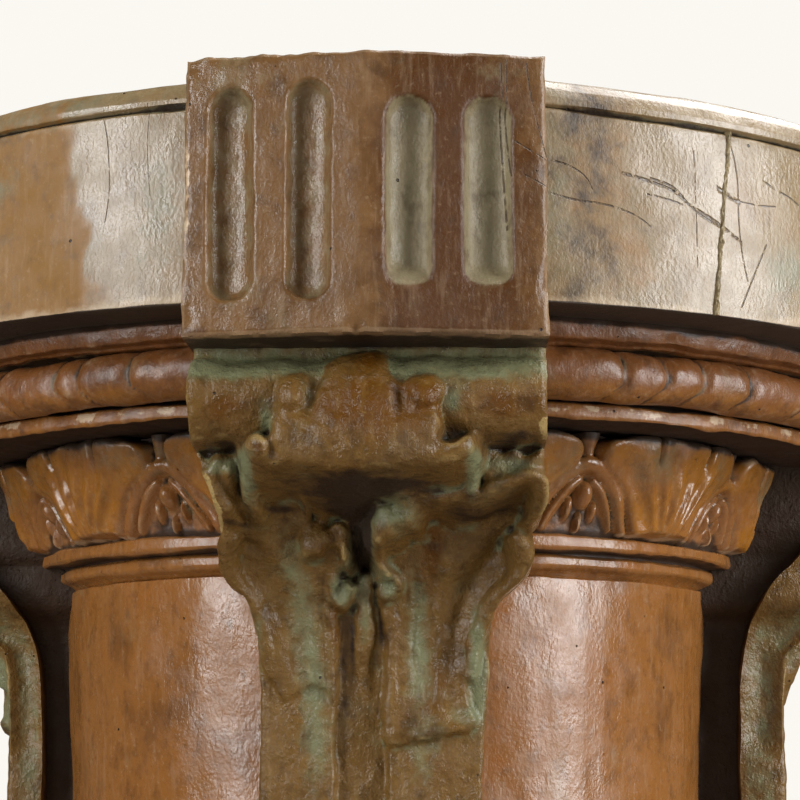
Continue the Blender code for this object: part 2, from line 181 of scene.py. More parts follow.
@dataclass(frozen=True)
class Line:
    """A smooth line over a carved face, through points of (side, depth, height, width)."""

    points: tuple[Point, ...]
    closed: bool = False
    parts: int = 5

    def drawn(self) -> Array:
        """Give the line as many short straight runs.

        Returns:
            The runs' ends, in order.
        """
        knots = np.array(self.points, float)
        if self.closed:
            knots = np.concatenate([knots[-1:], knots, knots[:2]])
        else:
            knots = np.concatenate([2 * knots[:1] - knots[1:2], knots, 2 * knots[-1:] - knots[-2:-1]])
        share = np.linspace(0.0, 1.0, self.parts, endpoint=False)[:, None]
        runs = []
        for before, start, end, after in zip(knots, knots[1:], knots[2:], knots[3:]):
            bend = 2 * before - 5 * start + 4 * end - after
            twist = 3 * start - before - 3 * end + after
            runs.append(start + ((end - before) * share + bend * share**2 + twist * share**3) / 2)
        last = knots[1:2] if self.closed else knots[-2:-1]
        return np.concatenate(runs + [last])

    def measure(self, side: Array, depth: Array) -> tuple[Array, Array]:
        """Measure to the nearest place on the line.

        Args:
            side: Distances to the side.
            depth: Depths below the block.

        Returns:
            The distance in millimetres, and the line's further values at that place.
        """
        line = self.drawn()
        best = np.full(side.shape, np.inf)
        values = np.zeros(side.shape + (line.shape[1] - 2,))
        for start, end in zip(line, line[1:]):
            run = end[:2] - start[:2]
            over, down = side - start[0], depth - start[1]
            share = np.clip((over * run[0] + down * run[1]) / max(run @ run, 1e-9), 0.0, 1.0)
            distance = np.hypot(over - share * run[0], down - share * run[1])
            near = distance < best
            best = np.where(near, distance, best)
            values[near] = mix(start[2:], end[2:], share[near][:, None])
        return best, values

    def inside(self, side: Array, depth: Array) -> Array:
        """Say which points a closed line holds.

        Args:
            side: Distances to the side.
            depth: Depths below the block.

        Returns:
            True for each point inside.
        """
        line = self.drawn()
        held = np.zeros(side.shape, bool)
        for start, end in zip(line, line[1:]):
            crosses = (start[1] > depth) != (end[1] > depth)
            rise = end[1] - start[1] if abs(end[1] - start[1]) > 1e-9 else 1e-9
            held ^= crosses & (side < mix(start[0], end[0], (depth - start[1]) / rise))
        return held

    def rod(self, side: Array, depth: Array, fall: float = 1.6) -> Array:
        """Give the surface of a rounded ridge whose crest has the line's heights and widths.

        Args:
            side: Distances to the side.
            depth: Depths below the block.
            fall: How steeply its sides go down beyond the width.

        Returns:
            The surface's height at each point.
        """
        distance, (crest, width) = self.split(side, depth)
        within = np.minimum(distance / width, 1.0)
        beyond = fall * np.maximum(distance - width, 0.0)
        return crest - width * (1.0 - np.sqrt(1.0 - within**2)) - beyond

    def groove(self, side: Array, depth: Array) -> Array:
        """Give the depth cut by a soft groove with the line's heights and widths."""
        distance, (cut, width) = self.split(side, depth)
        return cut * np.exp(-((distance / width) ** 2))

    def split(self, side: Array, depth: Array) -> tuple[Array, tuple[Array, Array]]:
        """Measure to the line and give its height and width there."""
        distance, values = self.measure(side, depth)
        return distance, (values[..., 0], values[..., 1])

    def plate(self, side: Array, depth: Array, top: Array, edge: float, fall: float) -> Array:
        """Give the surface of a flat form with this outline, rounded at its edge.

        Args:
            side: Distances to the side.
            depth: Depths below the block.
            top: Its height inside.
            edge: How far in the rounding starts.
            fall: How steeply its sides go down outside.

        Returns:
            The surface, which falls away outside the outline.
        """
        distance, _ = self.measure(side, depth)
        held = self.inside(side, depth)
        within = np.clip(1.0 - distance / edge, 0.0, 1.0)
        rounded = top - edge * (1.0 - np.sqrt(1.0 - within * within))
        return np.where(held, rounded, top - edge - fall * distance)


@dataclass
class ColumnSizes:
    """The column's driving sizes; overhangs are measured from the shaft's face."""

    column_height: float
    ridge_radius: float
    shaft_radius: float = 102.0
    slab_height: float = 58.6
    slab_overhang: float = 78.0
    cove_height: float = 2.0
    bead_height: float = 3.1
    bead_overhang: float = 63.0
    torus_gap: float = 1.2
    torus_tube: float = 6.8
    torus_overhang: float = 53.5
    ring_fillet_height: float = 2.8
    ring_fillet_overhang: float = 50.6
    frieze_height: float = 27.1
    upper_fillet_height: float = 4.9
    upper_fillet_overhang: float = 10.8
    lower_fillet_height: float = 4.3
    lower_fillet_overhang: float = 5.4
    cavetto_height: float = 2.6
    block_drop: float = 12.0
    block_count: int = 4

    @classmethod
    def from_frame(cls) -> ColumnSizes:
        """Read the column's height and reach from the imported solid."""
        low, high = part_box(NODE)
        return cls(column_height=(high[2] - low[2]) / MM, ridge_radius=high[0] / MM)

    @property
    def slab_bottom(self) -> float:
        """Height of the slab's underside."""
        return self.column_height - self.slab_height

    @property
    def block_bottom(self) -> float:
        """Height of the blocks' underside."""
        return self.slab_bottom - self.block_drop

    @property
    def torus_centre(self) -> float:
        """Height of the torus's middle."""
        bead = self.slab_bottom - self.cove_height - self.bead_height
        return bead - self.torus_gap - self.torus_tube

    @property
    def frieze_top(self) -> float:
        """Height of the underside of the fillet over the frieze."""
        return self.torus_centre - self.torus_tube - self.ring_fillet_height

    @property
    def frieze_bottom(self) -> float:
        """Height of the frieze's lower edge."""
        return self.frieze_top - self.frieze_height

    @property
    def shaft_top(self) -> float:
        """Height where the plain shaft ends."""
        fillets = self.upper_fillet_height + self.lower_fillet_height
        return self.frieze_bottom - fillets - self.cavetto_height


def linear(colour: str) -> tuple[float, float, float, float]:
    """Turn an sRGB hex colour to linear values.

    Args:
        colour: The colour, such as "#8a6a4c".

    Returns:
        Red, green, blue and an alpha of 1.
    """
    parts = [int(colour[at : at + 2], 16) / 255 for at in (1, 3, 5)]
    red, green, blue = (p / 12.92 if p <= 0.04045 else ((p + 0.055) / 1.055) ** 2.4 for p in parts)
    return red, green, blue, 1.0


def add_node(tree: bpy.types.NodeTree, kind: str, inputs: dict | None = None, **settings) -> bpy.types.Node:
    """Add a node with its settings and links.

    Args:
        tree: The tree that takes it.
        kind: The node's type, without the ShaderNode before it.
        inputs: Values or output sockets by the input's name or number.
        **settings: The node's own properties.

    Returns:
        The new node.
    """
    node = tree.nodes.new("ShaderNode" + kind)
    for name, value in settings.items():
        setattr(node, name, value)
    for name, value in (inputs or {}).items():
        if isinstance(value, bpy.types.NodeSocket):
            tree.links.new(value, node.inputs[name])
        else:
            node.inputs[name].default_value = value
    return node


@dataclass(frozen=True)
class Cloud:
    """An uneven mask of cloudy patches.

    Args:
        length: The patches' size in millimetres.
        low: Noise level where a patch starts.
        high: Noise level where it is full.
        top: How strong a full patch is.
        streak: How many times longer they are down the column than round it.
        octaves: How fine their detail goes.
        shift: Moves the pattern, so that two masks differ.
        stain: A painted stain that helps the patches, or hinders them.
        weight: How much it helps, below 0 where it hinders.
    """

    length: float
    low: float
    high: float
    top: float = 1.0
    streak: float = 1.0
    octaves: float = 4.0
    shift: float = 0.0
    stain: str = ""
    weight: float = 1.0


class Glaze:
    """Builds a finish coat by coat, as the column's painter did."""

    noise_roughness = 0.6
    pit_floor = 0.6

    def __init__(self, name: str, ground: str) -> None:
        """Start with the ground coat.

        Args:
            name: The material's name.
            ground: The ground coat's colour.
        """
        self.material = bpy.data.materials.new(name)
        self.material.use_nodes = True
        self.tree = self.material.node_tree
        self.shader = self.tree.nodes["Principled BSDF"]
        self.place = add_node(self.tree, "TexCoord").outputs["Object"]
        self.colour: Socket | tuple = linear(ground)
        self.normal: Socket | None = None

    def mask(self, cloud: Cloud) -> Socket:
        """Make a mask of cloudy patches.

        Args:
            cloud: Their size, strength and detail.

        Returns:
            The mask.
        """
        tree = self.tree
        shift = (cloud.shift, cloud.shift / 2, cloud.shift / 3)
        place = add_node(tree, "Mapping", {"Vector": self.place, "Location": shift,
                                           "Scale": (1.0, 1.0, 1.0 / cloud.streak)}).outputs[0]
        scale = 1.0 / (cloud.length * MM)
        noise = add_node(tree, "TexNoise", {"Vector": place, "Scale": scale, "Detail": cloud.octaves,
                                            "Roughness": self.noise_roughness}).outputs["Fac"]
        if cloud.stain:
            painted = add_node(tree, "Attribute", attribute_name=cloud.stain).outputs["Fac"]
            noise = add_node(tree, "Math", {0: painted, 1: cloud.weight, 2: noise},
                             operation="MULTIPLY_ADD").outputs[0]
        limits = {"From Min": cloud.low, "From Max": cloud.high, "To Max": cloud.top}
        return add_node(tree, "MapRange", {"Value": noise, **limits},
                        interpolation_type="SMOOTHSTEP").outputs["Result"]

    def lay(self, mask: Socket, colour: str) -> None:
        """Lay a colour over the coats so far."""
        coats = {"Factor": mask, 6: self.colour, 7: linear(colour)}
        self.colour = add_node(self.tree, "Mix", coats, data_type="RGBA").outputs[2]

    def press(self, height: Socket, distance: float, strength: float, sink: bool = False) -> None:
        """Raise the surface slightly by a mask.

        Args:
            height: The mask.
            distance: How far a full mask raises it, in millimetres.
            strength: How much of that the eye gets.
            sink: Whether it sinks instead.
        """
        inputs = {"Height": height, "Distance": distance * MM, "Strength": strength}
        if self.normal:
            inputs["Normal"] = self.normal
        self.normal = add_node(self.tree, "Bump", inputs, invert=sink).outputs[0]

    def pits(self, spacing: float, size: float, share: float) -> Socket:
        """Make a mask of scattered round pits.

        Args:
            spacing: About how far apart their places are, in millimetres.
            size: A pit's radius in millimetres.
            share: The share of the places that hold one.

        Returns:
            The mask.
        """
        tree = self.tree
        cells = add_node(tree, "TexVoronoi", {"Vector": self.place, "Scale": 1.0 / (spacing * MM)}).outputs
        edge = size / spacing
        pit = add_node(tree, "MapRange", {"Value": cells["Distance"], "From Min": edge,
                                          "From Max": edge * self.pit_floor}).outputs["Result"]
        chance = add_node(tree, "SeparateColor", {"Color": cells["Color"]}).outputs[0]
        kept = add_node(tree, "Math", {0: chance, 1: share}, operation="LESS_THAN").outputs[0]
        return add_node(tree, "Math", {0: pit, 1: kept}, operation="MULTIPLY").outputs[0]

    def done(self, gloss: Socket) -> bpy.types.Material:
        """Join the coats to the shader.

        Args:
            gloss: The surface's roughness.

        Returns:
            The finished material.
        """
        self.tree.links.new(self.colour, self.shader.inputs["Base Color"])
        self.tree.links.new(gloss, self.shader.inputs["Roughness"])
        if self.normal:
            self.tree.links.new(self.normal, self.shader.inputs["Normal"])
        return self.material


class Coat(Enum):
    """Where on the column a finish lies."""

    SLAB = "slab"
    BLOCK = "block"
    MOULDING = "moulding"
    FRIEZE = "frieze"
    SHAFT = "shaft"
    BRACKET = "bracket"


@dataclass(frozen=True)
class VarnishedClay:
    """Cast terracotta, painted bronze brown, rubbed, and varnished.

    The varnish gives broken white reflections over small lumps. The rubbed paint shows as amber,
    umber and grey-green clouds with brush marks down them, and edges are worn pale. The hollows keep
    a green patina, and painted shade darkens them, the recesses and the undersides.

    Args:
        place: Where it lies.
        ground: The ground coat's colour.
        amber: The rubbed places' colour.
        umber: The dirt's colour.
        green: The aged paint's colour, which in the blocks' flutes also stands in for their reflections.
        pale: The bare clay's colour, also used for painted highlights.
        dark_and_shade: The colour of the painted shade in hollows, recesses and undersides, and of the
            pits.
        grime: How strong the dirt is.
        streaks: How strong the pale brush marks are.
        worn: How strong the wear on edges is.
        sheen: The varnish's lowest and highest roughness.
        lumps: Height of the broad lumps in millimetres.
        knobs: Height of the small knobs in millimetres.
        grain: Height of the grain in millimetres.
        mottle: How strong the fine speckles are.
        rubbed: How much duller amber places are.
        varnish: The varnish's refractive index.
        matt: How much duller the places painted dark or with shade are.
    """

    place: Coat
    ground: str
    amber: str = "#8a4f1c"
    umber: str = "#4a2f1b"
    green: str = "#5d6350"
    pale: str = "#b39a7c"
    dark_and_shade: str = "#2a1a0e"
    grime: float = 0.5
    streaks: float = 0.12
    worn: float = 0.6
    sheen: tuple[float, float] = (0.24, 0.42)
    lumps: float = 0.35
    knobs: float = 0.0
    grain: float = 0.08
    mottle: float = 0.35
    rubbed: float = 0.1
    varnish: float = 1.55
    matt: float = 0.45

    def coats(self) -> tuple[tuple[Cloud, str], ...]:
        """Give the coats in the order they lie: clouds, stains, speckles, wear, dirt, painted shade and
        painted highlights.

        Returns:
            Each coat's mask and colour.
        """
        return (
            (Cloud(34.0, 0.5, 0.72, 0.4), self.amber),
            (Cloud(22.0, 0.5, 0.72, 0.5, 1.3, shift=2.7), self.umber),
            (Cloud(16.0, 0.58, 0.74, 0.35, 1.5, 5.0, 7.7), self.green),
            (Cloud(6.0, 0.6, 1.2, 0.95, 1.0, 6.0, 4.1, "amber", 0.85), self.amber),
            (Cloud(4.0, 0.6, 1.25, 0.9, 1.0, 6.0, 5.1, "green", 0.85), self.green),
            (Cloud(2.4, 0.5, 0.75, self.mottle, 1.0, 5.0, 6.6), self.umber),
            (Cloud(1.3, 0.56, 0.8, self.mottle, 1.0, 4.0, 2.9), self.pale),
            (Cloud(1.9, 0.5, 0.72, self.streaks, 7.0, 3.0, 1.3), self.pale),
            (Cloud(5.0, 0.5, 0.7, self.grime, 1.4, 6.0, 8.2), self.umber),
            (Cloud(6.0, 0.8, 1.25, self.worn, shift=3.3, stain="hollow", weight=-1.0), self.pale),
            (Cloud(7.0, 0.68, 1.0, 0.75, shift=6.2, stain="hollow", weight=0.8), self.green),
            # Painted shade: the hollows and grooves are darkened by their bend.
            (Cloud(4.0, 0.8, 1.25, 0.92, shift=1.9, stain="hollow", weight=0.9), self.dark_and_shade),
            # Painted shade, with some darker patches, from the stain that each piece sets.
            (Cloud(9.0, 0.62, 0.95, 0.95, shift=4.4, stain="dark_and_shade", weight=0.8), self.dark_and_shade),
            # Painted highlights, with worn pale places, from the stain that each piece sets.
            (Cloud(6.0, 0.75, 0.85, 1.0, shift=7.4, stain="wear_and_highlight", weight=0.6), self.pale),
        )

    def build(self) -> bpy.types.Material:
        """Lay the coats, press the small relief and set the varnish.

        Returns:
            The new material.
        """
        glaze = Glaze(f"varnished_terracotta_{self.place.value}", self.ground)
        for cloud, colour in self.coats():
            glaze.lay(glaze.mask(cloud), colour)
        pits = glaze.pits(spacing=7.0, size=0.45, share=0.35)
        glaze.lay(pits, self.dark_and_shade)
        self.score(glaze)
        # The clay's grain is finer than the photo's pixels, so it is drawn 1 to 2 mm coarse.
        reliefs = (
            (Cloud(8.0, 0.2, 0.8, shift=0.6), self.lumps, 0.45),
            (Cloud(3.0, 0.45, 0.75, shift=5.7), self.knobs, 0.6),
            (Cloud(1.7, 0.2, 0.8, 1.0, 6.0, 2.0), self.grain / 2, 0.5),
            (Cloud(1.0, 0.25, 0.75, 1.0, 1.3, 3.0, 2.2), self.grain, 0.6),
        )
        for cloud, distance, strength in reliefs:
            if distance:
                glaze.press(glaze.mask(cloud), distance, strength)
        glaze.press(pits, 0.6, 1.0, sink=True)
        low, high = self.sheen
        patches = glaze.mask(Cloud(11.0, 0.3, 0.72, shift=9.1))
        gloss = add_node(glaze.tree, "MapRange", {"Value": patches, "To Min": low,
                                                  "To Max": high}).outputs["Result"]
        # Rubbed amber places, and places painted dark or with shade, have lost their varnish and look
        # duller.
        for stain, rise, last in (("amber", self.rubbed, False), ("dark_and_shade", self.matt, True)):
            painted = add_node(glaze.tree, "Attribute", attribute_name=stain).outputs["Fac"]
            gloss = add_node(glaze.tree, "Math", {0: painted, 1: rise, 2: gloss},
                             operation="MULTIPLY_ADD", use_clamp=last).outputs[0]
        glaze.shader.inputs["IOR"].default_value = self.varnish
        return glaze.done(gloss)

    def score(self, glaze: Glaze) -> None:
        """Leave the surface unscratched; the head's finish draws its scratches here."""


class Piece:
    """A finished stretch of the casting, with its place in its mesh."""

    def __init__(self, name: str, shape: bmesh.types.BMesh) -> None:
        """Turn a bmesh into an object.

        Args:
            name: The piece's name.
            shape: Its mesh, which is freed.
        """
        bmesh.ops.recalc_face_normals(shape, faces=shape.faces)
        self.mesh = bpy.data.meshes.new(name)
        shape.to_mesh(self.mesh)
        shape.free()
        self.thing = bpy.data.objects.new(name, self.mesh)
        bpy.context.scene.collection.objects.link(self.thing)

    @property
    def places(self) -> Array:
        """Get the vertices' places.

        Returns:
            An array of x, y and z in millimetres.
        """
        flat = np.empty(len(self.mesh.vertices) * 3)
        self.mesh.vertices.foreach_get("co", flat)
        return flat.reshape(-1, 3) / MM

    @places.setter
    def places(self, moved: Array) -> None:
        """Move the vertices to places in millimetres."""
        self.mesh.vertices.foreach_set("co", (moved * MM).ravel())
        self.mesh.update()

    @property
    def normals(self) -> Array:
        """Get the vertices' normals.

        Returns:
            An array of unit vectors.
        """
        flat = np.empty(len(self.mesh.vertices) * 3)
        self.mesh.vertices.foreach_get("normal", flat)
        return flat.reshape(-1, 3)

    def face_out(self) -> None:
        """Turn a moved mesh's faces outwards again."""
        shape = bmesh.new()
        shape.from_mesh(self.mesh)
        bmesh.ops.recalc_face_normals(shape, faces=shape.faces)
        shape.to_mesh(self.mesh)
        shape.free()

    def turn_round(self, turn: int, count: int) -> None:
        """Turn a piece made at the front by some of count places round the column."""
        self.mesh.transform(Matrix.Rotation(turn * math.tau / count, 4, "Z"))
        self.mesh.update()

    def roughen(self, *fields: tuple[float, float, int]) -> None:
        """Push the surface in and out by uneven fields.

        Args:
            *fields: For each, the waves' length and height in millimetres, and a seed.
        """
        places = self.places
        push = sum(height * waves(places, length, seed) for length, height, seed in fields)
        self.places = places + self.normals * push[:, None]

    def stain(self, name: str, strength: Array) -> None:
        """Store a stain's strength at each vertex."""
        layer = self.mesh.attributes.new(name, "FLOAT", "POINT")
        layer.data.foreach_set("value", strength.astype(np.float32))

    def mark_hollows(self, reach: int = 3, full: float = 0.35, keep: float | Array = 1.0) -> None:
        """Store how hollow the surface is at each vertex, from -1 on edges to 1 in grooves.

        Args:
            reach: How many rings of neighbours it is smoothed over.
            full: The bend in millimetres that counts as 1.
            keep: How much of the mark is kept.
        """
        places = self.places
        ends = np.empty(len(self.mesh.edges) * 2, int)
        self.mesh.edges.foreach_get("vertices", ends)
        first, second = ends.reshape(-1, 2).T
        count = np.bincount(ends, minlength=len(places)).astype(float)

        def around(values: Array) -> Array:
            """Average each vertex's neighbours."""
            total = np.bincount(first, values[second], len(places))
            return (total + np.bincount(second, values[first], len(places))) / count

        smoothed = [places[:, axis] for axis in range(3)]
        for _ in range(reach):
            smoothed = [(values + around(values)) / 2 for values in smoothed]
        bend = ((np.stack(smoothed, 1) - places) * self.normals).sum(1)
        for _ in range(2):
            bend = (bend + around(bend)) / 2
        self.stain("hollow", np.clip(bend / full, -1.0, 1.0) * keep)

    def finish(self, material: bpy.types.Material, sharp: float = 50.0) -> bpy.types.Object:
        """Shade, dress and place the piece on the column's body.

        Args:
            material: Its finish.
            sharp: Edges bent more than this many degrees stay sharp.

        Returns:
            The finished object.
        """
        self.mesh.shade_smooth()
        self.mesh.set_sharp_from_angle(angle=math.radians(sharp))
        self.mesh.materials.append(material)
        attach(self.thing, BODY)
        LOG.info("%s: %d faces", self.thing.name, len(self.mesh.polygons))
        return self.thing


def dense(outline: Sequence[Point], step: float, ease: float = 0.0) -> list[Point]:
    """Put points along an outline, and round its corners.

    Args:
        outline: Corner points of (radius, height).
        step: The longest gap left between points.
        ease: How far from each corner its rounding starts.

    Returns:
        The denser outline.
    """
    corners = [np.array(point, float) for point in outline]
    points = [corners[0]]
    for before, corner, after in zip(corners, corners[1:], corners[2:]):
        back, ahead = before - corner, after - corner
        cut = min(ease, np.linalg.norm(back) / 2, np.linalg.norm(ahead) / 2)
        start = corner + back / np.linalg.norm(back) * cut
        end = corner + ahead / np.linalg.norm(ahead) * cut
        points += [start, (start + 2 * corner + end) / 4, end] if cut > 0.05 else [corner]
    points.append(corners[-1])
    filled = [points[0]]
    for start, end in zip(points, points[1:]):
        pieces = max(1, math.ceil(np.linalg.norm(end - start) / step))
        filled += [mix(start, end, part / pieces) for part in range(1, pieces + 1)]
    return [(float(radius), float(height)) for radius, height in filled]


def round_arc(radius: float, height: float, tube: float, start: float, end: float,
              steps: int) -> list[Point]:
    """Give points along a round moulding, by degrees from straight out."""
    turns = [math.radians(mix(start, end, step / steps)) for step in range(steps + 1)]
    return [(radius + tube * math.cos(turn), height + tube * math.sin(turn)) for turn in turns]


def turn_on_axis(outline: Sequence[Point], steps: int) -> bmesh.types.BMesh:
    """Spin an outline that starts and ends on the axis into a closed shape.

    One sixteenth is spun, and then the shape is doubled round the axis until it closes.

    Args:
        outline: Points of (radius, height) in millimetres, from the bottom up.
        steps: How many faces go round, a multiple of 16.

    Returns:
        The turned shape in metres.
    """
    shape = bmesh.new()
    points = [shape.verts.new((radius * MM, 0.0, height * MM)) for radius, height in outline]
    edges = [shape.edges.new(pair) for pair in zip(points, points[1:])]
    sectors = 16
    part = math.tau / sectors
    bmesh.ops.spin(shape, geom=points + edges, axis=(0, 0, 1), cent=(0, 0, 0), angle=part,
                   steps=steps // sectors)
    for doubling in range(int(math.log2(sectors))):
        made = bmesh.ops.duplicate(shape, geom=shape.verts[:] + shape.edges[:] + shape.faces[:])["geom"]
        verts = [item for item in made if isinstance(item, bmesh.types.BMVert)]
        turn = Matrix.Rotation(part * 2**doubling, 3, "Z")
        bmesh.ops.rotate(shape, verts=verts, cent=(0, 0, 0), matrix=turn)
    bmesh.ops.remove_doubles(shape, verts=shape.verts, dist=0.001 * MM)
    return shape


@dataclass(frozen=True)
class Sheet:
    """A closed block whose front is a fine grid of columns and rows, with layers round its sides."""

    columns: int
    rows: int
    layers: int

    def shape(self) -> bmesh.types.BMesh:
        """Make it in coordinates of its own: x and y from -1 to 1, and z counts the layers.

        Returns:
            The closed shape.
        """
        shape = bmesh.new()
        bmesh.ops.create_grid(shape, x_segments=self.columns, y_segments=self.rows, size=MM)
        rim = [edge for edge in shape.edges if edge.is_boundary]
        for _ in range(self.layers):
            made = bmesh.ops.extrude_edge_only(shape, edges=rim)["geom"]
            corners = {item for item in made if isinstance(item, bmesh.types.BMVert)}
            bmesh.ops.translate(shape, verts=list(corners), vec=(0.0, 0.0, MM))
            rim = [item for item in made if isinstance(item, bmesh.types.BMEdge)
                   and item.verts[0] in corners and item.verts[1] in corners]
        bmesh.ops.contextual_create(shape, geom=rim)
        return shape

    def index(self, places: Array) -> tuple[Array, Array, Array]:
        """Read where in the grid each vertex is.

        Args:
            places: The vertices' places in the sheet's own coordinates.

        Returns:
            Their rows from the top, columns from the left, and layers.
        """
        row = np.round((1.0 - places[:, 1]) / 2 * self.rows).astype(int)
        column = np.round((places[:, 0] + 1.0) / 2 * self.columns).astype(int)
        return row, column, np.round(places[:, 2]).astype(int)


def smoothed(face: Array, rounds: int) -> Array:
    """Soften a grid of heights by averaging each with its neighbours.

    Args:
        face: The grid.
        rounds: How many times it is done.

    Returns:
        The softer grid.
    """
    for _ in range(rounds):
        for _ in range(2):
            wide = np.pad(face, ((1, 1), (0, 0)), mode="edge")
            face = ((wide[:-2] + 2 * wide[1:-1] + wide[2:]) / 4).T
    return face


def azimuth(places: Array) -> Array:
    """Give each place's angle round the column in degrees, 0 at the front."""
    return np.degrees(np.arctan2(places[:, 0], -places[:, 1]))


def push_out(places: Array, distance: Array) -> Array:
    """Move places away from the column's axis.

    Args:
        places: The places.
        distance: How far each moves, in millimetres.

    Returns:
        The moved places.
    """
    radius = np.maximum(np.hypot(places[:, 0], places[:, 1]), 1e-6)
    moved = places.copy()
    moved[:, :2] *= ((radius + distance) / radius)[:, None]
    return moved


def stains(ovals: Sequence[Oval], side: Array, depth: Array) -> Array:
    """Add up some soft stains' strengths."""
    return sum((oval.height(side, depth) for oval in ovals), np.zeros_like(side))


@dataclass(frozen=True)
class Scratch:
    """A fine scored line on the head, through (degrees round, depth below the top) points.

    Its points go on to the right, or down where it is upright.
    """

    points: tuple[Point, ...]
    width: float = 0.5
    upright: bool = False


@dataclass(frozen=True)
class HeadClay(VarnishedClay):
    """The slab's and blocks' finish, with the scratches that years of use have left.

    They show as thin, dark, broken lines, slightly sunk.

    Args:
        top: Height of the column's top in millimetres.
        radius: The face's distance from the axis in millimetres.
        span: Degrees round, and millimetres down, that the scratches lie within.
        scored: The scratches' colour.
        scratches: The scratches, if it has any.
    """

    top: float = 1100.0
    radius: float = 180.0
    span: float = 90.0
    scored: str = "#3b2a19"
    scratches: tuple[Scratch, ...] = ()

    def mark(self, tree: bpy.types.NodeTree, scratch: Scratch, across: Socket, down: Socket) -> Socket:
        """Draw one scratch as a thin band along a curve.

        Args:
            tree: The finish's nodes.
            scratch: The scratch.
            across: A place's share of the span from the left.
            down: Its share of the span from the top.

        Returns:
            The scratch's mask.
        """
        ends = [((turn + self.span / 2) / self.span, depth / self.span) for turn, depth in scratch.points]
        run, rise = across, down
        half = scratch.width / 2 / self.span
        if scratch.upright:
            ends = [(depth, turn) for turn, depth in ends]
            run, rise = down, across
            half /= math.radians(self.radius)
        line = add_node(tree, "FloatCurve", {"Value": run})
        knots = line.mapping.curves[0].points
        knots[0].location, knots[1].location = ends[0], ends[-1]
        for place in ends[1:-1]:
            knots.new(*place)
        line.mapping.update()
        off = add_node(tree, "Math", {0: line.outputs[0], 1: rise}, operation="SUBTRACT").outputs[0]
        aside = add_node(tree, "Math", {0: off}, operation="ABSOLUTE").outputs[0]
        near = add_node(tree, "MapRange", {"Value": aside, "From Min": half * 1.5,
                                           "From Max": half * 0.5}).outputs["Result"]
        start = add_node(tree, "Math", {0: run, 1: ends[0][0]}, operation="GREATER_THAN").outputs[0]
        end = add_node(tree, "Math", {0: run, 1: ends[-1][0]}, operation="LESS_THAN").outputs[0]
        held = add_node(tree, "Math", {0: start, 1: end}, operation="MULTIPLY").outputs[0]
        return add_node(tree, "Math", {0: near, 1: held}, operation="MULTIPLY").outputs[0]

    def score(self, glaze: Glaze) -> None:
        """Draw the scratches as dark sunk lines.

        Args:
            glaze: The finish that takes them.
        """
        if not self.scratches:
            return
        tree = glaze.tree
        half_span = math.radians(self.span / 2)
        bottom = self.top - self.span
        parts = add_node(tree, "SeparateXYZ", {"Vector": glaze.place}).outputs
        front = add_node(tree, "Math", {0: parts[1], 1: -1.0}, operation="MULTIPLY").outputs[0]
        turn = add_node(tree, "Math", {0: parts[0], 1: front}, operation="ARCTAN2").outputs[0]
        across = add_node(tree, "MapRange", {"Value": turn, "From Min": -half_span,
                                             "From Max": half_span}).outputs["Result"]
        down = add_node(tree, "MapRange", {"Value": parts[2], "From Min": self.top * MM,
                                           "From Max": bottom * MM}).outputs["Result"]
        total = self.mark(tree, self.scratches[0], across, down)
        for scratch in self.scratches[1:]:
            mark = self.mark(tree, scratch, across, down)
            total = add_node(tree, "Math", {0: total, 1: mark}, operation="MAXIMUM").outputs[0]
        broken = glaze.mask(Cloud(2.2, 0.36, 0.56, 0.85))
        worn = add_node(tree, "Math", {0: total, 1: broken}, operation="MULTIPLY").outputs[0]
        glaze.lay(worn, self.scored)
        glaze.press(worn, 0.3, 1.0, sink=True)


@dataclass(frozen=True)
class LimeFiller:
    """Old lime filler in a crack: never varnished, so it looks dull, chalky and dirty."""

    ground: str = "#8d7c58"
    dirt: str = "#645638"

    def build(self) -> bpy.types.Material:
        """Lay the coats.

        Returns:
            The new material.
        """
        glaze = Glaze("lime_filler", self.ground)
        glaze.lay(glaze.mask(Cloud(3.0, 0.45, 0.65, 0.8)), self.dirt)
        glaze.press(glaze.mask(Cloud(1.2, 0.2, 0.8)), 0.3, 0.7)
        return glaze.done(glaze.mask(Cloud(4.0, 0.0, 1.0, 0.9)))


